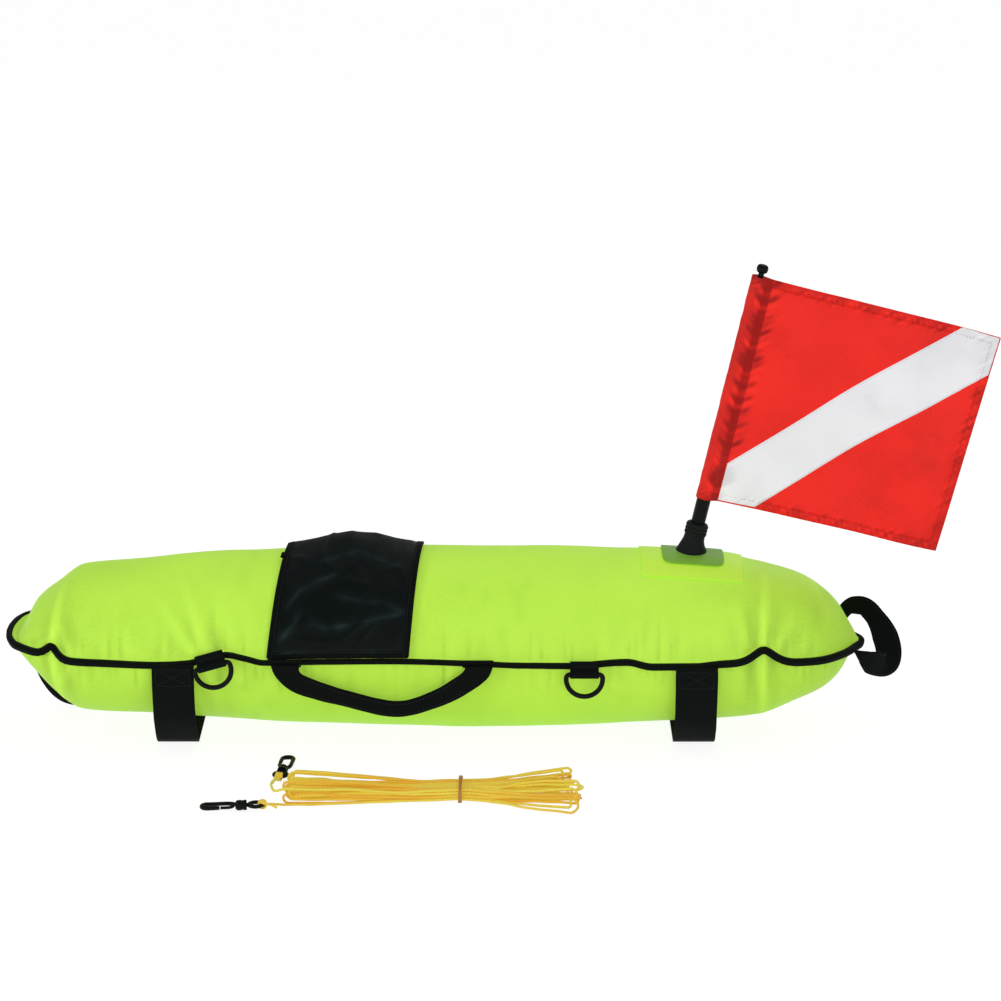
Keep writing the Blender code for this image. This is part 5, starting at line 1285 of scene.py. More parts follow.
def widest_edge(x, half_width, rear=False):
    edges = [seam_edge(float(along_of(x + half_width * step)), rear) for step in (-1, -0.5, 0, 0.5, 1)]
    middle = edges[2][0].copy()
    middle[1] = max(((edge + upward * binding_half)[1] for edge, _, upward, _ in edges), key=abs)
    return middle


print("seam edge by the right ring:", np.round(widest_edge(0.099, 0.0255), 4))

# %% [markdown]
# ## Gear straps
# Two bands of 50 mm webbing hang from the front seam, pass under the belly and come up
# to the rear seam. They carry the float on the floor. Each is one ribbon, with a box of
# stitches and its cross where each end is sewn on.

# %% Gear strap pieces
gear_width, gear_wall = 0.05, 0.002
gear_shares = ((1.0, 1.0), (0.995, 0.72), (0.9, 0.36), (0.72, 0.1), (0.57, 0.0))
box_corners = ((-1, 0.0), (1, 0.0), (1, 1.0), (-1, 1.0), (-1, 0.0), (1, 1.0), (-1, 1.0), (1, 0.0))
box_top, box_foot, box_inset = 0.006, 0.026, 0.005

for name, x in (("gear_strap_left", -0.387), ("gear_strap_right", 0.232)):
    edge = widest_edge(x, gear_width / 2)
    half_span, rise = abs(edge[1]) + strap_gap + gear_wall / 2, edge[2] + 0.003 - gear_wall / 2
    front = smooth_run([(x, -half_span * out, gear_wall / 2 + rise * up) for out, up in gear_shares], 40)
    path = np.vstack((front, front[::-1] * (1, -1, 1)))
    run = run_lengths(path)
    print(name, "uses", round(float(run[-1]), 3), "m of webbing")
    band(name + "_webbing", "float", path, x_way, gear_width + 0.0006 * wander(run / 0.02, x * 20), gear_wall,
         solid=name, corner=0.45)
    for end, y_way, side in (("front", -1.0, path), ("rear", 1.0, path[::-1])):
        low, high = side[0, 2] - box_foot, side[0, 2] - box_top
        box = np.array([(x + c * (gear_width / 2 - box_inset), 0.0, low + (high - low) * s) for c, s in box_corners])
        line = np.vstack([a + (b - a) * np.linspace(0, 1, 12, endpoint=False)[:, None]
                          for a, b in zip(box, box[1:])] + [box[-1:]])
        line[:, 1] = np.interp(-line[:, 2], -side[:40, 2], side[:40, 1]) + y_way * gear_wall * 0.5
        sew("%s_box_%s" % (name, end), "float", line, (0.0, y_way, 0.0))

# %% [markdown]
# ## The carry handle
# The handle is 24 mm webbing whose two ends leave the seam at a slant. Between them the
# webbing is folded round a cord of padding and sewn shut, which makes a thicker grip.
# It hangs flat against the float. One ribbon changes its thickness along its run, and a
# row of stitches closes the grip near each long edge. The sewn ends above the bend stay
# on the seam when the handle swings, so they are two short ribbons of their own.

# %% Carry handle pieces
carry_left, carry_span, carry_drop = -0.26, 0.2352, 0.0545
carry_width, carry_wall, grip_wall = 0.024, 0.0024, 0.006
carry_shares = ((0.032, -0.12), (0.034, 0.14), (0.075, 0.38), (0.165, 0.55), (0.311, 0.74), (0.5765, 1.0),
                (0.7755, 0.78), (0.925, 0.42), (0.985, 0.16), (0.988, -0.1))
roots = [widest_edge(carry_left, carry_width), widest_edge(carry_left + carry_span, carry_width)]
carry_y = min(roots[0][1], roots[1][1]) - strap_gap - carry_wall / 2
carry_z = (roots[0][2] + roots[1][2]) / 2
grip_pinch, root_flare, stitch_inset = 0.0042, 0.015, 0.0035
carry_path = smooth_run([(carry_left + carry_span * a, carry_y, carry_z - carry_drop * d)
                         for a, d in carry_shares], 120)
carry_run = run_lengths(carry_path)
from_end = np.linspace(0.0, 1.0, len(carry_path))
from_end = np.minimum(from_end, 1 - from_end)
padded_share = ease(4.5 * from_end - 0.6)
carry_walls = carry_wall + (grip_wall - carry_wall + 0.00035 * wander(carry_run / 0.012, 3.0)) * padded_share
carry_widths = carry_width - grip_pinch * padded_share + 0.0005 * wander(carry_run / 0.016, 8.0)
carry_widths = carry_widths + root_flare * np.exp(-(from_end / 0.06) ** 2)
carry_tangents = tangents_of(carry_path)
carry_tangents[:2], carry_tangents[-2:] = -up_way, up_way
carry_wide = np.cross((0.0, -1.0, 0.0), carry_tangents)
swings = np.flatnonzero(carry_path[:, 2] <= carry_z + 0.0001)
swings = slice(swings[0], swings[-1] + 1)
band("carry_webbing", "carry_handle", carry_path[swings], carry_wide[swings], carry_widths[swings],
     carry_walls[swings], solid="carry_handle", corner=0.48, steps=6)
for name, side in (("carry_stitches_low", 1.0), ("carry_stitches_high", -1.0)):
    line = carry_path + unit(carry_wide) * (side * (carry_widths / 2 - stitch_inset))[:, None]
    line[:, 1] -= carry_walls / 2 * 0.97
    sew(name, "carry_handle", line[18:103], (0.0, -1.0, 0.0), length=0.0032, spacing=0.0044)
for name, first in (("carry_root_left", 0), ("carry_root_right", -1)):
    top = carry_path[first]
    low = top * (1, 1, 0) + (0.0, 0.0, carry_z + 0.003)
    band(name, "float", np.linspace(top, low, 6), x_way, carry_widths[first], carry_wall, corner=0.48)
print("carry handle:", round(float(carry_run[-1]), 3), "m of webbing")

# %% [markdown]
# ## End loops
# At the right tip a loop of webbing stands out from the seam as a handle, and at the
# left tip a longer loop hangs down behind the float. Their roots are pinched into the
# seam, so the webbing starts narrow and opens to its full width.

# %% End loop pieces
loop_width, loop_wall = 0.024, 0.0024
root_width, root_wall = 0.006, 0.001
# Each row: share from the first root to the second, then shares of the reach and of the rise.
right_shares = ((0.0, 0.0, 0.0), (0.005, 0.08, 0.1), (0.07, 0.26, 0.8), (0.23, 0.6, 1.0),
                (0.43, 0.88, 0.48), (0.65, 1.0, -0.25), (0.82, 0.88, -0.72), (0.93, 0.55, -0.6),
                (0.985, 0.16, -0.2), (1.0, 0.0, 0.0))
left_shares = ((0.0, 0.0, 0.0), (0.0, 0.09, -0.04), (0.0, 0.13, -0.25), (0.02, 0.04, -0.52),
               (0.1, -0.25, -0.82), (0.25, -0.55, -0.99), (0.48, -0.66, -1.0), (0.74, -0.4, -0.84),
               (0.93, 0.0, -0.52), (0.99, 0.13, -0.25), (1.0, 0.09, -0.04), (1.0, 0.0, 0.0))


def make_loop(name, body, solid, first, second, shares, reach, rise, full_width=loop_width):
    edge_a, out_a, _, run_a = seam_edge(*first)
    edge_b, out_b, _, run_b = seam_edge(*second)
    root_a, root_b = edge_a + out_a * strap_gap, edge_b + out_b * strap_gap
    chord = root_b - root_a
    outward = unit(np.cross(up_way, chord))
    if outward.dot(out_a + out_b) < 0:
        outward = -outward
    path = smooth_run([root_a + chord * a + outward * reach * o + up_way * rise * z for a, o, z in shares], 110)
    tangents = tangents_of(path)
    share = np.linspace(0.0, 1.0, len(path))
    opened = np.minimum(1.0, np.minimum(5.0 * share, 7.0 * (1 - share)))
    bend = np.clip((share - 0.38) / 0.14, 0, 1) * np.clip((0.95 - share) / 0.1, 0, 1)
    width = root_width + (loop_width - root_width) * opened + (full_width - loop_width) * bend
    wall = root_wall + (loop_wall - root_wall) * np.minimum(1.0, 2 * opened)
    wide = np.zeros_like(path)
    held = unit(np.cross(tangents[0], np.cross(run_a, tangents[0])))
    for i, tangent in enumerate(tangents):
        wanted = unit(np.cross(tangent, (0.0, 1.0, 0.0)))
        wanted = -wanted if wanted.dot(held) < 0 else wanted
        root_wide = run_a if share[i] < 0.5 else run_b
        root_wide = -root_wide if root_wide.dot(wanted) < 0 else root_wide
        mixed = min(1.0, opened[i] * 1.6)
        held = wanted * mixed + root_wide * (1 - mixed)
        wide[i] = held = unit(held - tangent * held.dot(tangent))
    band(name + "_webbing", body, path, wide, width, wall, solid=solid, corner=0.45)
    thick = np.cross(wide, tangents)
    for number, (side, face) in enumerate(((1, 1), (-1, 1), (1, -1), (-1, -1))):
        line = path + wide * (side * (width / 2 - 0.003))[:, None] + thick * (face * wall / 2)[:, None]
        sew("%s_webbing_stitches_%d" % (name, number), body, line[12:-12], thick[12:-12] * face,
            length=0.0034, spacing=0.0048)
    print(name, round(float(run_lengths(path)[-1]), 3), "m")


make_loop("right_loop", "right_handle", "end_handle_right", (0.973, True), (0.987, False), right_shares,
          0.0504, 0.031, 0.0315)
make_loop("left_loop", "left_handle", "end_handle_left", (0.022, True), (0.112, True), left_shares, 0.055, 0.097)

# %% [markdown]
# ## D-rings
# Four plastic D-rings hang in folded tabs of webbing. A tab goes up into the seam, runs
# round the ring's straight bar and back up over itself. The ring is bent wire in its
# simplest form: a circle of points is pushed along the bar and spun through the bow.

# %% Bent wire helper
ring_wire, ring_width, ring_height = 0.006, 0.049, 0.033


def select_all(made):
    """Go into edit mode with the whole mesh selected."""
    alone(made)
    bpy.ops.object.mode_set(mode="EDIT")
    bpy.ops.mesh.select_all(action="SELECT")


def finish_shape(made, name, finish, merge=0.00001, bevel=0.0, angle=40):
    """Merge, face outward, smooth by angle, and put the place into the mesh."""
    select_all(made)
    bpy.ops.mesh.remove_doubles(threshold=merge)
    bpy.ops.mesh.normals_make_consistent(inside=False)
    bpy.ops.object.mode_set(mode="OBJECT")
    if bevel:
        rounding = made.modifiers.new("rounding", "BEVEL")
        rounding.width, rounding.segments = bevel, 3
        rounding.limit_method, rounding.angle_limit = "ANGLE", math.radians(35)
        apply_all(made)
    bpy.ops.object.transform_apply(location=True, rotation=True, scale=True)
    bpy.ops.object.shade_smooth_by_angle(angle=math.radians(angle))
    made.name = made.data.name = name
    made.data.materials.clear()
    made.data.materials.append(finish)
    return made


def bent_ring(name, wire, width, height, finish):
    """A D of wire about its bar's middle: the bar along X, the bow below it."""
    half, corner = width / 2 - wire / 2, wire * 0.75
    leg = height - wire - corner - half
    bpy.ops.mesh.primitive_circle_add(vertices=16, radius=wire / 2, fill_type="NOTHING",
                                      location=(0.0, 0.0, 0.0), rotation=(0.0, math.pi / 2, 0.0))
    ring = bpy.context.object
    bpy.ops.object.transform_apply(location=False, rotation=True, scale=False)
    select_all(ring)
    quarter = {"angle": math.pi / 2, "axis": (0.0, -1.0, 0.0)}
    bpy.ops.mesh.extrude_region_move(TRANSFORM_OT_translate={"value": (half - corner, 0.0, 0.0)})
    bpy.ops.mesh.spin(steps=6, center=(half - corner, 0.0, -corner), **quarter)
    if leg > 0.0002:
        bpy.ops.mesh.extrude_region_move(TRANSFORM_OT_translate={"value": (0.0, 0.0, -leg)})
    bpy.ops.mesh.spin(steps=18, center=(0.0, 0.0, -corner - max(leg, 0.0)), **quarter)
    bpy.ops.object.mode_set(mode="OBJECT")
    mirror = ring.modifiers.new("other_half", "MIRROR")
    mirror.merge_threshold = 0.0001
    return finish_shape(apply_all(ring), name, finish, merge=0.00005)


ring_model = bent_ring("ring_model", ring_wire, ring_width, ring_height, black_plastic)
print("ring:", len(ring_model.data.polygons), "faces")

# %% [markdown]
# ### Rings and tabs in place
# One ring is modelled and copied four times, each copy with its own mesh. Each is turned
# to the slant of its tab and pushed out to the seam.

# %% Ring and tab pieces
tab_width, tab_wall, tab_rise, tab_drop = 0.034, 0.0015, 0.008, 0.007
bar_room = ring_wire / 2 + 0.0003


def make_tab(place, centre, turn, sign):
    radius = bar_room + tab_wall / 2
    top, lean = tab_drop + tab_rise, tab_wall * 1.15 - radius
    profile = [(-radius, top), (-radius, top * 0.5)]
    profile += [(-radius * math.cos(a), -radius * math.sin(a)) for a in np.linspace(0, math.pi * 1.18, 18)]
    profile += [(radius * 0.3, radius * 0.95), (lean + 0.0008, radius * 1.35), (lean, top * 0.62), (lean, top)]
    path = smooth_run([centre + turn @ Vector((0.0, sign * u, v)) for u, v in profile], 60)
    band("tab_" + place, "float", path, turn @ Vector(x_way), tab_width, tab_wall, solid="d_ring_tab_" + place,
         corner=0.45)
    line = [centre + turn @ Vector((s * (tab_width / 2 - 0.004), sign * (lean + tab_wall / 2), top * 0.6))
            for s in np.linspace(-1, 1, 12)]
    sew("tab_%s_stitches" % place, "float", line, turn @ Vector((0.0, sign, 0.0)))


for place, x, tilt in (("front_left", -0.3405, -16), ("front_right", 0.099, 0),
                       ("rear_left", -0.3405, -16), ("rear_right", 0.099, 0)):
    rear = place.startswith("rear")
    edge, sign = widest_edge(x, tab_width * 0.75, rear), 1.0 if rear else -1.0
    centre = Vector((x, edge[1] + sign * (strap_gap + bar_room + tab_wall), edge[2] - tab_drop))
    turn = Matrix.Rotation(math.radians(tilt), 3, "Y")
    ring = add_object("ring_" + place, ring_model.data.copy())
    ring.data.transform(Matrix.Translation(centre) @ turn.to_4x4())
    settle(ring, "ring_" + place, "d_ring_" + place)
    make_tab(place, centre, turn, sign)
bpy.data.objects.remove(ring_model, do_unlink=True)
print("four rings and tabs placed")

# %% [markdown]
# ## Socket, pole and cap
# The pole is a black plastic tube that stands, leaning a little, in a rubber socket. The
# socket has a flared skirt, a waist and a ribbed collar. Round pieces like these are
# spun: a profile of points, in millimetres, is turned about the pole's axis. The skirt's
# lowest ring is then let down on to the curved cover.

# %% Lathe helper and mast pieces
mast_x, mast_tilt = 0.2292, math.radians(13)
patch_stack = 0.0035
mast_foot = np.array((mast_x, 0.0, float(top_height(mast_x, 0.0)) + patch_stack))
mast_axis = np.array((math.sin(mast_tilt), 0.0, math.cos(mast_tilt)))
mast_across = np.array((math.cos(mast_tilt), 0.0, -math.sin(mast_tilt)))
pole_radius, pole_foot, pole_top = 0.0085, 0.0065, 0.3435


def lathe(name, profile, place, turn, finish=black_plastic, foot=0.0, steps=48, bevel=0.0, angle=35):
    """Spin a profile of (radius, height above the foot) about its own axis, then put it in place."""
    mesh = bpy.data.meshes.new(name)
    points = [(r / 1000, 0.0, foot + h / 1000) for r, h in profile]
    mesh.from_pydata(points, [(i, i + 1) for i in range(len(points) - 1)], [])
    made = add_object(name, mesh)
    select_all(made)
    bpy.ops.mesh.spin(steps=steps, angle=2 * math.pi, center=(0.0, 0.0, 0.0), axis=(0.0, 0.0, 1.0))
    bpy.ops.object.mode_set(mode="OBJECT")
    made.matrix_world = Matrix.Translation(Vector(place)) @ turn
    return finish_shape(made, name, finish, bevel=bevel, angle=angle)


mast_turn = Matrix.Rotation(mast_tilt, 4, "Y")
socket_profile = [(8.9, 36), (8.9, 6), (2, 6), (2, 1.5), (19, 1.2), (19.2, 2.6), (17.6, 5.2), (14.8, 10), (12.9, 14.8),
                  (12.4, 19)]
for rib in (22.5, 27, 31.5):
    socket_profile += [(12.6, rib - 0.8), (13.6, rib), (13.6, rib + 2.2), (12.6, rib + 3)]
socket_profile += [(12.8, 35), (12, 36), (8.9, 36)]
mast_socket = lathe("mast_socket", socket_profile, mast_foot, mast_turn, black_rubber, steps=56, bevel=0.0003)
for vertex in mast_socket.data.vertices:
    height = (np.array(vertex.co) - mast_foot).dot(mast_axis)
    share = min(1.0, max(0.0, (0.012 - height) / 0.0095))
    level = float(top_height(vertex.co.x, vertex.co.y)) + patch_stack + max(0.0, height - 0.0012) * 0.9
    vertex.co.z = vertex.co.z * (1 - share) + level * share
settle(mast_socket, "float", "flag_socket")
tube = (pole_top - pole_foot) * 1000
pole_profile = ((7, 0), (8.3, 0), (8.5, 0.6), (8.5, tube - 0.8), (7.9, tube), (3.9, tube), (3.9, tube - 3),
                (7, tube - 3), (7, 0))
cap_profile = ((0, -18.5), (3.4, -18.5), (3.4, -0.4), (5, 0), (6.4, 1.4), (7, 4.2), (6.7, 7.2), (5.2, 9.2), (3, 9.9),
               (0, 10))
settle(lathe("pole_tube", pole_profile, mast_foot, mast_turn, foot=pole_foot, steps=40), "mast",
       "flag_pole")
settle(lathe("knob_cap", cap_profile, mast_foot, mast_turn, foot=pole_top + 0.0065, steps=36, angle=50),
       "mast", "pole_cap")
print("mast foot:", np.round(mast_foot, 4))

# %% [markdown]
# ## Patches under the socket
# A window of doubled nylon is stitched on the cover, and a smaller coated patch with
# round corners is welded on it to carry the socket. Both follow the cover, so they are
# sheets of points set just above it.

# %% Patch pieces


def patch_sheet(name, left, right, half, lift, wall, finish, corner):
    """A sheet on the cover with rounded corners, and its grid of points."""
    u, v = np.linspace(-1, 1, 45)[:, None], np.linspace(-1, 1, 65)[None, :]
    pull = corner * (1 - 1 / math.sqrt(2))
    x = (left + right) / 2 + u * ((right - left) / 2 - pull * np.abs(v) ** 8)
    y = v * (half - pull * np.abs(u) ** 8)
    grid = np.stack(np.broadcast_arrays(x, y, top_height(x, y) + lift + wall), -1)
    return make_sheet(name, grid, grid[..., :2], finish, wall), grid


window, window_grid = patch_sheet("window_cloth_patch", 0.1674, 0.291, 0.057, 0.0004, 0.0008, patch_cloth, 0.003)
settle(window, "float", "window_patch")
settle(patch_sheet("socket_patch", 0.194, 0.268, 0.037, 0.0016, 0.0015, coated_patch, 0.012)[0],
       "float", "socket_base_patch")
for inset in (2, 5):
    g = window_grid[inset:-inset, inset:-inset]
    line = np.vstack((g[:-1, 0], g[-1, :-1], g[::-1, -1][:-1], g[0, ::-1][:-1]))
    sew("window_stitches_%d" % inset, "float", line, up_way, "nylon_green", green_thread, closed=True)
print("patches made")

# %% [markdown]
# ## The flag
# The flag is red nylon with a white band sewn across it. It hangs on a sleeve: one edge of
# the cloth goes round the pole and is stitched back on itself. The other edges are
# hemmed, and hems always pull in a little, which gives the short gathers beside them. A
# single sheet of points makes cloth and sleeve together, from the stitch line behind,
# round the pole, and out to the free edge.

# %% Flag surface
flag_foot, fly_drop = 0.0675, 0.007
reach_top, reach_bottom = 0.2952, 0.2865
flag_height = pole_top + 0.0015 - flag_foot
flag_wave = 0.006
sleeve_outer = (pole_radius + 0.0003) / math.cos(math.pi / 12) + 0.0012
sleeve_seam = 0.015
hem_width = 0.011
# Painted shade and highlight of puckers at the top, foot and free edges and at the sleeve: pitch, lean, strength and
# spread.
painted_pucker_shade = ((0.0055, 1.0, 1.1, 0.008), (0.0055, -1.0, 1.1, 0.008), (0.0065, 1.0, 1.1, 0.008),
                (0.0082, -0.7, 1.9, 0.0065))


def flag_reach(up):
    return reach_bottom + (reach_top - reach_bottom) * up


def flag_swing(reach, up):
    """How far the flag waves off its plane."""
    out = np.maximum(0.0, reach - sleeve_outer) / (reach_top - sleeve_outer)
    first = np.sin(2 * math.pi * (0.95 * out - 0.35 * up))
    second = 0.45 * np.sin(2 * math.pi * (1.7 * out + 0.6 * up) + 1.0)
    return flag_wave * (0.35 + 0.65 * ease(out)) * np.minimum(1.0, 4 * out) * (first + second)


def flag_edges(reach, rise, seam_away):
    """The way in from the top, foot, free edge and seam, each with the run along it."""
    free_away = flag_reach(rise / flag_height) - reach
    return (flag_height - rise, reach), (rise, reach), (free_away, rise), (seam_away, rise)


def flag_gathers(reach, rise):
    """Short wrinkles square to the hems and to the sleeve's seam."""
    made = 0.0006 * wander(reach / 0.05 + rise / 0.09, rise / 0.13, 3.0)
    for number, (away, run) in enumerate(flag_edges(reach, rise, reach - sleeve_seam)):
        wave = wander(run / 0.0055, number * 11.0, away * 12) + 0.5 * wander(run / 0.0115, number * 11.0 + 5.0)
        near = np.exp(-((away - hem_width * 0.8) / 0.009) ** 2)
        made = made + np.where(away < 0.035, 0.0013 * wave * near, 0.0)
    return made


def flag_shade(reach, rise):
    """Painted shade and highlight of the flag: puckers painted along the hems and the sleeve, soft folds painted light
    and dark, painted shade towards the free edge, and the sleeve and its seam painted darker.
    """
    seam = reach - sleeve_seam
    # Soft folds painted as light and shade, and painted shade towards the free edge.
    total = 0.3 * wander(reach / 0.06 + rise / 0.2, rise / 0.055, 3.0)
    total = total + 0.1 * wander(reach / 0.016, rise / 0.016, 5.0) - 0.16 * np.maximum(0.0, reach / reach_top) ** 3
    edges = flag_edges(reach, rise, np.maximum(seam, -seam * 2.5))
    for number, ((away, run), (pitch, lean, strength, spread)) in enumerate(zip(edges, painted_pucker_shade)):
        tooth = wander((run + lean * away) / pitch, number * 11.0, away * 9)
        tooth = tooth + 0.4 * wander(run / 0.021, number * 5.0, 1.0) - 0.13
        near = np.exp(-((away - 0.006) / spread) ** 2)
        total = total + np.where(away < 0.03, strength * tooth * near, 0.0)
    # Painted shade on the sleeve, and a dark painted line along its seam.
    total = total - np.where(seam < 0.001, 0.42, 0.0) - 0.5 * np.exp(-(seam / 0.0012) ** 2)
    return np.clip(total, -1.0, 1.0)


def flag_place(reach, rise, side):
    """Points of the flag: reach from the pole, rise above the foot, side off its plane."""
    out = np.maximum(0.0, reach - sleeve_outer) / (reach_top - sleeve_outer)
    base = mast_foot + np.multiply.outer(flag_foot + rise - fly_drop * out * rise / flag_height, mast_axis)
    return base + np.multiply.outer(reach, mast_across) + np.multiply.outer(side, (0.0, 1.0, 0.0))


def sleeve_section(count):
    """The sleeve's outline about the pole: from its seam behind, round to its seam in front."""
    touch = math.acos(sleeve_outer / sleeve_seam) * 0.9
    around = [(sleeve_outer * math.cos(a), sleeve_outer * math.sin(a))
              for a in np.linspace(touch, 2 * math.pi - touch, count)]
    return np.array([(sleeve_seam + 0.0035, 0.0011), (sleeve_seam, 0.0011)] + around)


columns, levels = 130, 150
section = sleeve_section(22)
section_run = run_lengths(section)
up = np.linspace(0.0, 1.0, levels + 1)[:, None]
rise = flag_height * up
reach = sleeve_seam + (flag_reach(up) - sleeve_seam) * np.linspace(0.0, 1.0, columns)
sleeve = np.repeat(section[None], levels + 1, axis=0)
sleeve[:, 2:] *= (1 + 0.05 * wander(rise / 0.012, 1.0) + 0.03 * wander(rise / 0.03, 8.0))[:, None]
side = flag_swing(reach, up) + flag_gathers(reach, rise)
start = np.linspace(0, 1, 6)
side[:, :6] = side[:, :6] * start - 0.0006 * (1 - start)
whole_reach = np.hstack((sleeve[..., 0], reach))
whole_rise = np.broadcast_to(rise, whole_reach.shape)
flag_grid = flag_place(whole_reach, whole_rise, np.hstack((sleeve[..., 1], side)))
run_across = np.hstack((np.tile(section_run, (levels + 1, 1)), section_run[-1] + reach))
turned = np.tile(sleeve_seam - np.linspace(0.0, 0.026, len(section))[::-1], (levels + 1, 1))
# The flag's painted shade and highlight go on per point, the sleeve's running on from its seam.
flag_fabric = make_sheet("flag_fabric", flag_grid, np.stack((run_across, whole_rise), -1), red_cloth, 0.0006,
                         crease=flag_shade(np.hstack((turned, reach)), rise))
settle(flag_fabric, "flag", "flag_cloth")

# %% [markdown]
# ### Hems
# A hem is the cloth's own edge folded over and stitched. On the flag it shows as a
# slightly thicker border, and the stitches sit along its inner side.

# %% Hem pieces
hem_count, margin = 220, 0.0006
hem_shares = np.array((0.0, 0.03, 0.5, 0.97, 1.0))[:, None]
hem_lifts = np.array((0.0001, 0.00055, 0.00065, 0.00055, 0.0001))[:, None]
faces_of_flag = (("front", -1.0), ("rear", 1.0))
hem_thread_lift, band_thread_lift = 0.0009, 0.0013


def flag_line(line, lift):
    """Points over places of (reach, rise) that follow the flag's waves, lifted off one face."""
    reach, rise = line[..., 0], line[..., 1]
    return flag_place(reach, rise, flag_swing(reach, rise / flag_height) + flag_gathers(reach, rise) + lift)


def flag_border(edge, inset):
    """Places of (reach, rise) along one edge of the flag, some way in from it."""
    if edge == "free":
        rise = np.linspace(margin, flag_height - margin, hem_count)
        return np.stack((flag_reach(rise / flag_height) - inset, rise), -1)
    far, rise = (reach_top, flag_height - inset) if edge == "top" else (reach_bottom, inset)
    return np.stack((np.linspace(sleeve_seam + 0.002, far - margin, hem_count), np.full(hem_count, rise)), -1)


def hem_strip(name, inner, outer, face):
    """A folded border between two lines of places on one face of the flag."""
    lines = inner + (outer - inner) * hem_shares[:, None]
    grid = flag_line(lines, face * hem_lifts + (0.0 if face < 0 else 0.0001))
    uv = np.stack(np.meshgrid(np.linspace(0, hem_width, len(grid)), run_lengths(grid[2]), indexing="ij"), -1)
    # Painted shade and highlight from the flag, a little darker on the hem.
    painted_light_marks = np.clip(flag_shade(lines[..., 0], lines[..., 1]) - 0.14, -1.0, 1.0)
    settle(make_sheet(name, grid, uv, red_cloth, 0.0002, crease=painted_light_marks, offset=0.0), "flag")


for edge in ("top", "foot", "free"):
    for face_name, face in faces_of_flag:
        hem_strip("flag_hem_%s_%s" % (edge, face_name), flag_border(edge, hem_width), flag_border(edge, margin), face)
        line = flag_line(flag_border(edge, hem_width - 0.0018)[3:-6], face * hem_thread_lift)
        sew("flag_stitches_%s_%s" % (edge, face_name), "flag", line, (0.0, face, 0.0), "red_nylon", red_thread)
seam_line = np.stack((np.full(hem_count, sleeve_seam + 0.0015), np.linspace(0.004, flag_height - 0.004, hem_count)), -1)
for face_name, face in faces_of_flag:
    line = flag_line(seam_line, face * hem_thread_lift) + (0.0, 0.0 if face < 0 else 0.0012, 0.0)
    sew("sleeve_stitches_" + face_name, "flag", line, (0.0, face, 0.0), "red_nylon", red_thread)
print("hems made")

# %% [markdown]
# ### The white band
# The band is a strip of white nylon sewn on each face, from the lower corner by the pole
# to the upper corner of the free edge, where it ends in the two hems. Each strip is a
# grid between its two long edges, which meet in the corners, and follows the flag's
# waves. Stitches run along its edges, and across its ends where the hems hold it.

# %% Band pieces
band_low, band_high = (0.0618, 0.048), (0.249, 0.2965 - flag_foot)
edge_gap = 0.0015
near_pole = 0.0165
top_level = flag_height - edge_gap
low_corner, high_corner = (near_pole, edge_gap), (flag_reach(1.0) - edge_gap, top_level)
counts = (16, 110, 16)


def corner_line(corners, counts):
    """Straight runs of places between corners."""
    spots = [np.linspace(a, b, n, endpoint=False) for a, b, n in zip(corners, corners[1:], counts)]
    return np.vstack(spots + [np.array(corners[-1:])])


def bowed(*corners):
    """The band is cut straight but sewn on with a slight bow."""
    line = corner_line(corners, counts)
    line[:, 1] += 0.0045 * np.exp(-((line[:, 0] - 0.16) / 0.085) ** 2)
    return line


upper_line = bowed(low_corner, (near_pole, band_low[1]), (band_high[0], top_level), high_corner)
lower_line = bowed(low_corner, (band_low[0], edge_gap),
                   (flag_reach(band_high[1] / flag_height) - edge_gap, band_high[1]), high_corner)
lines = upper_line + (lower_line - upper_line) * np.linspace(0, 1, 25)[:, None, None]
# Painted shade and highlight from the flag, weaker on the band and with its darkest painted shade held back.
painted_light_marks = np.clip(flag_shade(lines[..., 0], lines[..., 1]) * 0.6, -0.22, 1.0)
for face_name, face in faces_of_flag:
    grid = flag_line(lines, face * (0.00105 if face < 0 else 0.00125))
    strip = make_sheet("white_band_" + face_name, grid, lines, white_cloth, 0.0003, flip=face > 0,
                       crease=painted_light_marks, offset=0.0)
    select_all(strip)
    bpy.ops.mesh.remove_doubles(threshold=0.00002)
    bpy.ops.object.mode_set(mode="OBJECT")
    settle(strip, "flag", "stripe_" + face_name)
    seams = [("band_stitches_%s_%d" % (face_name, number), (edge + shift)[counts[0] + 1:counts[0] + counts[1] - 1])
             for number, (edge, shift) in enumerate(((upper_line, (0.001, -0.0016)), (lower_line, (-0.001, 0.0016))))]
    for number, inset in enumerate((0.0085, 0.0105)):
        reach, rise = flag_reach(1.0) - inset, top_level - inset + edge_gap
        corners = [(reach, band_high[1] + 0.012), (reach, rise), (band_high[0] + 0.006, rise)]
        seams.append(("corner_stitches_%s_%d" % (face_name, number), corner_line(corners, (40, 40))))
    for name, line in seams:
        sew(name, "flag", flag_line(line, face * band_thread_lift), (0.0, face, 0.0), "white_nylon", white_thread)
print("white bands made")

# %% [markdown]
# ### The stiffened top hem
# With no wind a flag droops, and this one stands out flat, so a thin rod must run along
# its top edge. It sits behind the cloth in a sewn pocket, which is a soft flat tube.

# %% Rod pocket
rod_drop, rod_lift, rod_count = 0.006, 0.004, 90
rod_reach = np.linspace(sleeve_outer + 0.0015, reach_top - 0.0015, rod_count)
rod_line = flag_place(rod_reach, np.full(rod_count, flag_height - rod_drop),
                      flag_swing(rod_reach, 1 - rod_drop / flag_height) + rod_lift)
settle(make_ribbon("rod_pocket", rod_line, mast_axis, 0.0105, 0.004, red_cloth, corner=0.5, steps=6),
       "flag")
print("rod pocket made")

# %% [markdown]
# ## The inflation valve
# Under the flap sits an oral valve: a flange on the cover, a stem and a mouthpiece that
# is pushed in to let air through. Round shapes again, so the lathe makes all three.

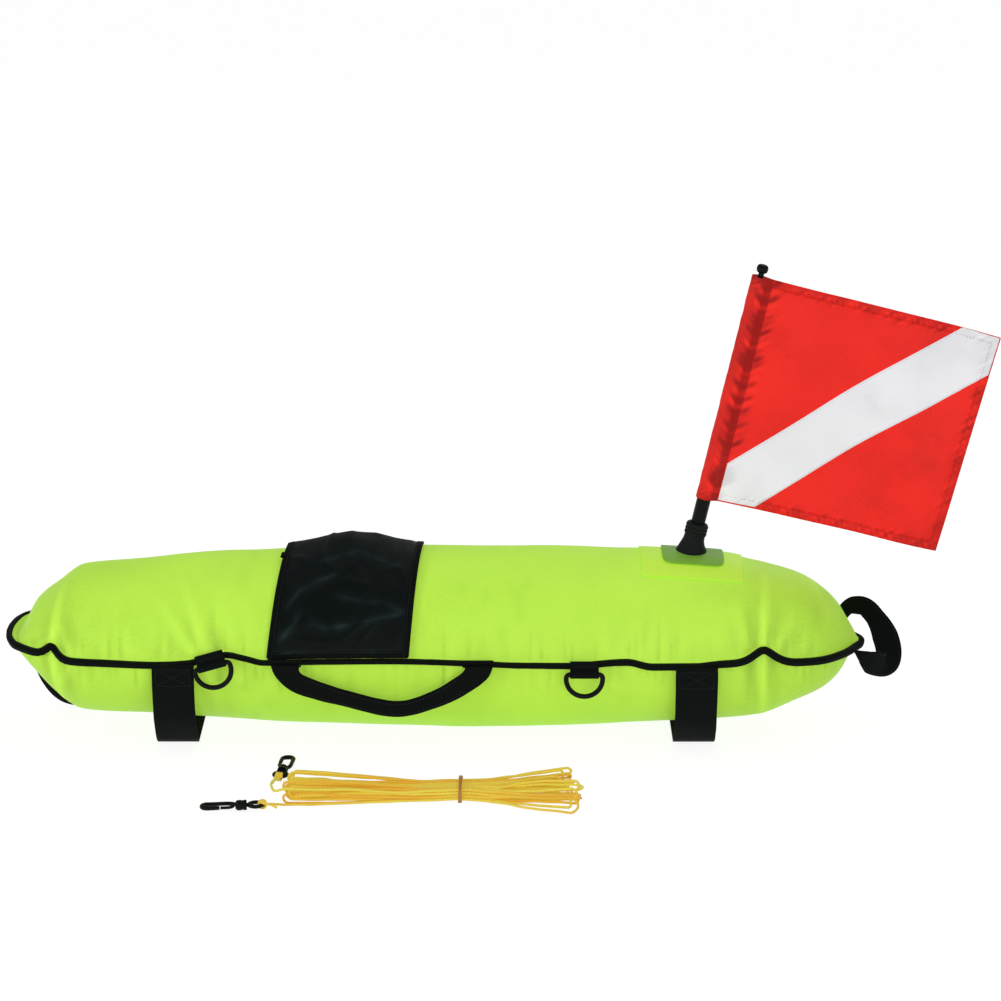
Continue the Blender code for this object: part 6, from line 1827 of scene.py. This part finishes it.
# %% Valve pieces
valve_place = (flap_peak, 0.0, float(top_height(flap_peak, 0.0)))
upright = Matrix.Identity(4)
flange_profile = ((8.3, 0.4), (16.8, 0.2), (17, 1.4), (15, 2.4), (12, 2.6), (11, 2.2), (8.3, 2.4), (8.3, 0.4))
stem_profile = ((5.5, 10), (5.5, 3), (3, 2.6), (3, -12), (8, -12), (8, 9.4), (7.4, 10), (5.5, 10))
mouth_profile = ((3, 14), (3, 9.3), (5, 9.3), (5, 13.3), (8.3, 13.3), (8.3, 7.2), (9.5, 7), (9.5, 8.5), (9, 9), (9, 10),
                 (9.5, 10.6), (9.4, 12.4), (8, 13.9), (5.5, 14.3), (3, 14))
flange = lathe("valve_flange_ring", flange_profile, valve_place, upright)
for vertex in flange.data.vertices:
    vertex.co.z += float(top_height(vertex.co.x, vertex.co.y)) - valve_place[2]
settle(flange, "float", "valve_flange")
for name, profile, body, solid in (("valve_stem_tube", stem_profile, "float", "valve_stem"),
                                   ("valve_mouth", mouth_profile, "mouthpiece", "valve_mouthpiece")):
    settle(lathe(name, profile, valve_place, upright, steps=40), body, solid)
print("valve made")

# %% [markdown]
# ## Band, knots and clips of the line
# A rubber band is wound twice round the hank's waist. Each end of the line is knotted to
# the eye of a swivel clip: a ring on a stem, a barrel that turns on it, a hook, and a
# spring gate that closes the hook.

# %% Rubber band
pad = rope_diameter / 2 + 0.0009
(y0, z0), (y1, z1) = (hank_strand(hank_waist_x, 0, 0, -1.0)[1:] - pad,
                      hank_strand(hank_waist_x, hank_loops - 1 + climb_side, 1, 1.0)[1:] + pad)
band_corner, band_turn = 0.003, 0.0037
band_points = [(hank_waist_x, cy + math.cos(a) * band_turn, cz + math.sin(a) * band_turn)
               for start, (cy, cz) in enumerate(((y1 - band_corner, z1 - band_corner),
                                                 (y0 + band_corner, z1 - band_corner),
                                                 (y0 + band_corner, z0 + band_corner),
                                                 (y1 - band_corner, z0 + band_corner)))
               for a in np.linspace(start, start + 1, 5) * math.pi / 2]
band_wraps = []
for wrap in range(2):
    path = smooth_run(band_points, 120, closed=True)
    lean = np.linspace(0, 2 * math.pi, 120, endpoint=False)
    path[:, 0] += (wrap - 0.5) * 0.0022 + 0.0006 * np.sin(lean + wrap * 2.0)
    loop = make_ribbon("rubber_band_%d" % (wrap + 1), path, x_way, 0.0022, 0.0013, band_rubber, closed=True,
                       corner=0.49)
    band_wraps.append(settle(loop, "line", None if wrap else "line_band"))
print("band round", round((y1 - y0) * 1000), "by", round((z1 - z0) * 1000), "mm")

# %% [markdown]
# ### Clips
# One clip is modelled from its own places: along it, across it and up. The eye is a bent
# ring, the barrel is spun, the hook is a wire that grows thicker round its nose, and the
# gate is a thin straight finger. The same function then makes both clips.

# %% Clip pieces
clip_wire, clip_eye, clip_hook_radius = 0.0024, 0.0075, 0.0068
eye_centre = clip_eye + clip_wire + 0.0003
barrel_start = eye_centre + clip_eye + clip_wire + 0.0003
barrel_end, nose = barrel_start + 0.013, barrel_start + 0.044
barrel_profile = ((0, 4.6), (3.9, 4.6), (3.9, 2), (2.5, 2), (2.5, 0), (5.2, 0), (6, 0.7), (6, 2.8), (5.6, 3.4),
                  (5.6, 6.2), (6, 6.8), (6, 10), (5.2, 11.8), (3.4, 13), (0, 13))
pin_profile = ((0, -2.7), (2.2, -2.7), (2.2, 2.2), (3.6, 2.3), (3.6, 4.2), (0, 4.2))
hook_spine = [(barrel_end - 0.004, -0.0004), (barrel_end - 0.001, -0.0022), (barrel_end + 0.003, -0.0054),
              (barrel_end + 0.009, -clip_hook_radius), (nose - 0.01, -clip_hook_radius), (nose, -clip_hook_radius)]
hook_spine += [(nose + clip_hook_radius * math.sin(a), -clip_hook_radius * math.cos(a))
               for a in np.linspace(0, math.pi, 9)[1:]]
hook_spine += [(nose - 0.0065, clip_hook_radius), (nose - 0.013, clip_hook_radius)]
gate_foot, gate_tip = np.array((barrel_end + 0.0024, 0.0029)), np.array((nose - 0.0138, clip_hook_radius))
gate_shares = ((0.0, 0.0), (0.1, 0.45), (0.25, 0.8), (0.45, 1.0), (0.7, 1.0), (1.0, 1.0))
clip_rings = []


def clip_frame(place, way):
    side = np.cross(up_way, way)
    return lambda along, across, up=0.0: np.asarray(place) + way * along + side * across + up_way * up


def make_clip(letter, place, way):
    at = clip_frame(place, way)
    turn = Vector((0, 0, 1)).rotation_difference(Vector(way)).to_matrix().to_4x4()
    angles = np.linspace(0, 2 * math.pi, 40, endpoint=False)
    ring = np.array([at(eye_centre - clip_eye * math.cos(a), clip_eye * math.sin(a)) for a in angles])
    swell = 1 + 0.18 * np.exp(-((angles - math.pi) / 0.5) ** 2)
    clip_rings.append(make_rope("clip_ring_" + letter, ring, clip_wire * 0.96 * swell, 14, black_plastic, closed=True))
    pin = lathe("clip_stem_" + letter, pin_profile, place, turn, foot=barrel_start, steps=24)
    barrel = lathe("clip_barrel_" + letter, barrel_profile, place, turn, foot=barrel_start, steps=32)
    share = np.linspace(0, 1, 70)
    size = 0.98 + 0.16 * np.exp(-((share - 0.66) / 0.13) ** 2) - 0.06 * np.clip((share - 0.93) / 0.07, 0, 1)
    hook = make_rope("clip_bow_" + letter, smooth_run([at(u, v) for u, v in hook_spine], 70), clip_wire * size, 14,
                     black_plastic)
    finger = smooth_run([at(*(gate_foot + (gate_tip - gate_foot) * share)) for share in gate_shares], 40)
    gate = make_rope("clip_finger_" + letter, finger, 0.00178, 12, black_plastic)
    for piece, body, solid in ((clip_rings[-1], "line", "clip_eye_" + letter), (pin, "line", None),
                               (barrel, "hook_" + letter, "clip_hook_" + letter), (hook, "hook_" + letter, None),
                               (gate, "gate_" + letter, "clip_gate_" + letter)):
        settle(piece, body, solid)


clip_places = (("a", clip_a_place, clip_a_way), ("b", clip_b_place, clip_b_way))
for letter, place, way in clip_places:
    make_clip(letter, place, way)
print("clips made, rings:", len(clip_rings))

# %% [markdown]
# ### Knots
# Each end of the line goes through its clip's eye and is tied back on itself. A knot is
# two tight turns round the eye's wire and a short tail, all of the same rope.

# %% Knot pieces


def make_knot(letter, place, way):
    at = clip_frame(place, way)
    reach = clip_wire + rope_diameter * 0.56
    turns = [at(0.0027 - reach * math.cos(a), -0.0032 + 0.0064 * k / 33, reach * 0.98 * math.sin(a))
             for k, a in enumerate(2 * math.pi * np.arange(34) / 14)]
    tail = [at(-0.006, 0.004, 0.0006), at(-0.01, 0.0046, -0.001), at(-0.0135, 0.006, -0.003)]
    path = smooth_run(turns + tail, 150)
    path[:, 2] = np.maximum(path[:, 2], rope_diameter / 2 * 0.96)
    size = rope_diameter / 2 * np.clip((1.0 - np.linspace(0, 1, 150)) / 0.01 + 0.75, 0, 0.96)
    return settle(make_rope("knot_" + letter, path, size, 10, yellow_rope), "line")


knots = [make_knot(*clip) for clip in clip_places]
print("knots made:", len(knots))

# %% [markdown]
# ### The line on its body
# The rope is a free cord. It leaves the eye of one clip and ends at the eye of the other,
# and its whole length lies in the hank.

# %% Setting the line
settle(float_rope, "line", "float_line")
clip_rings + knots + band_wraps
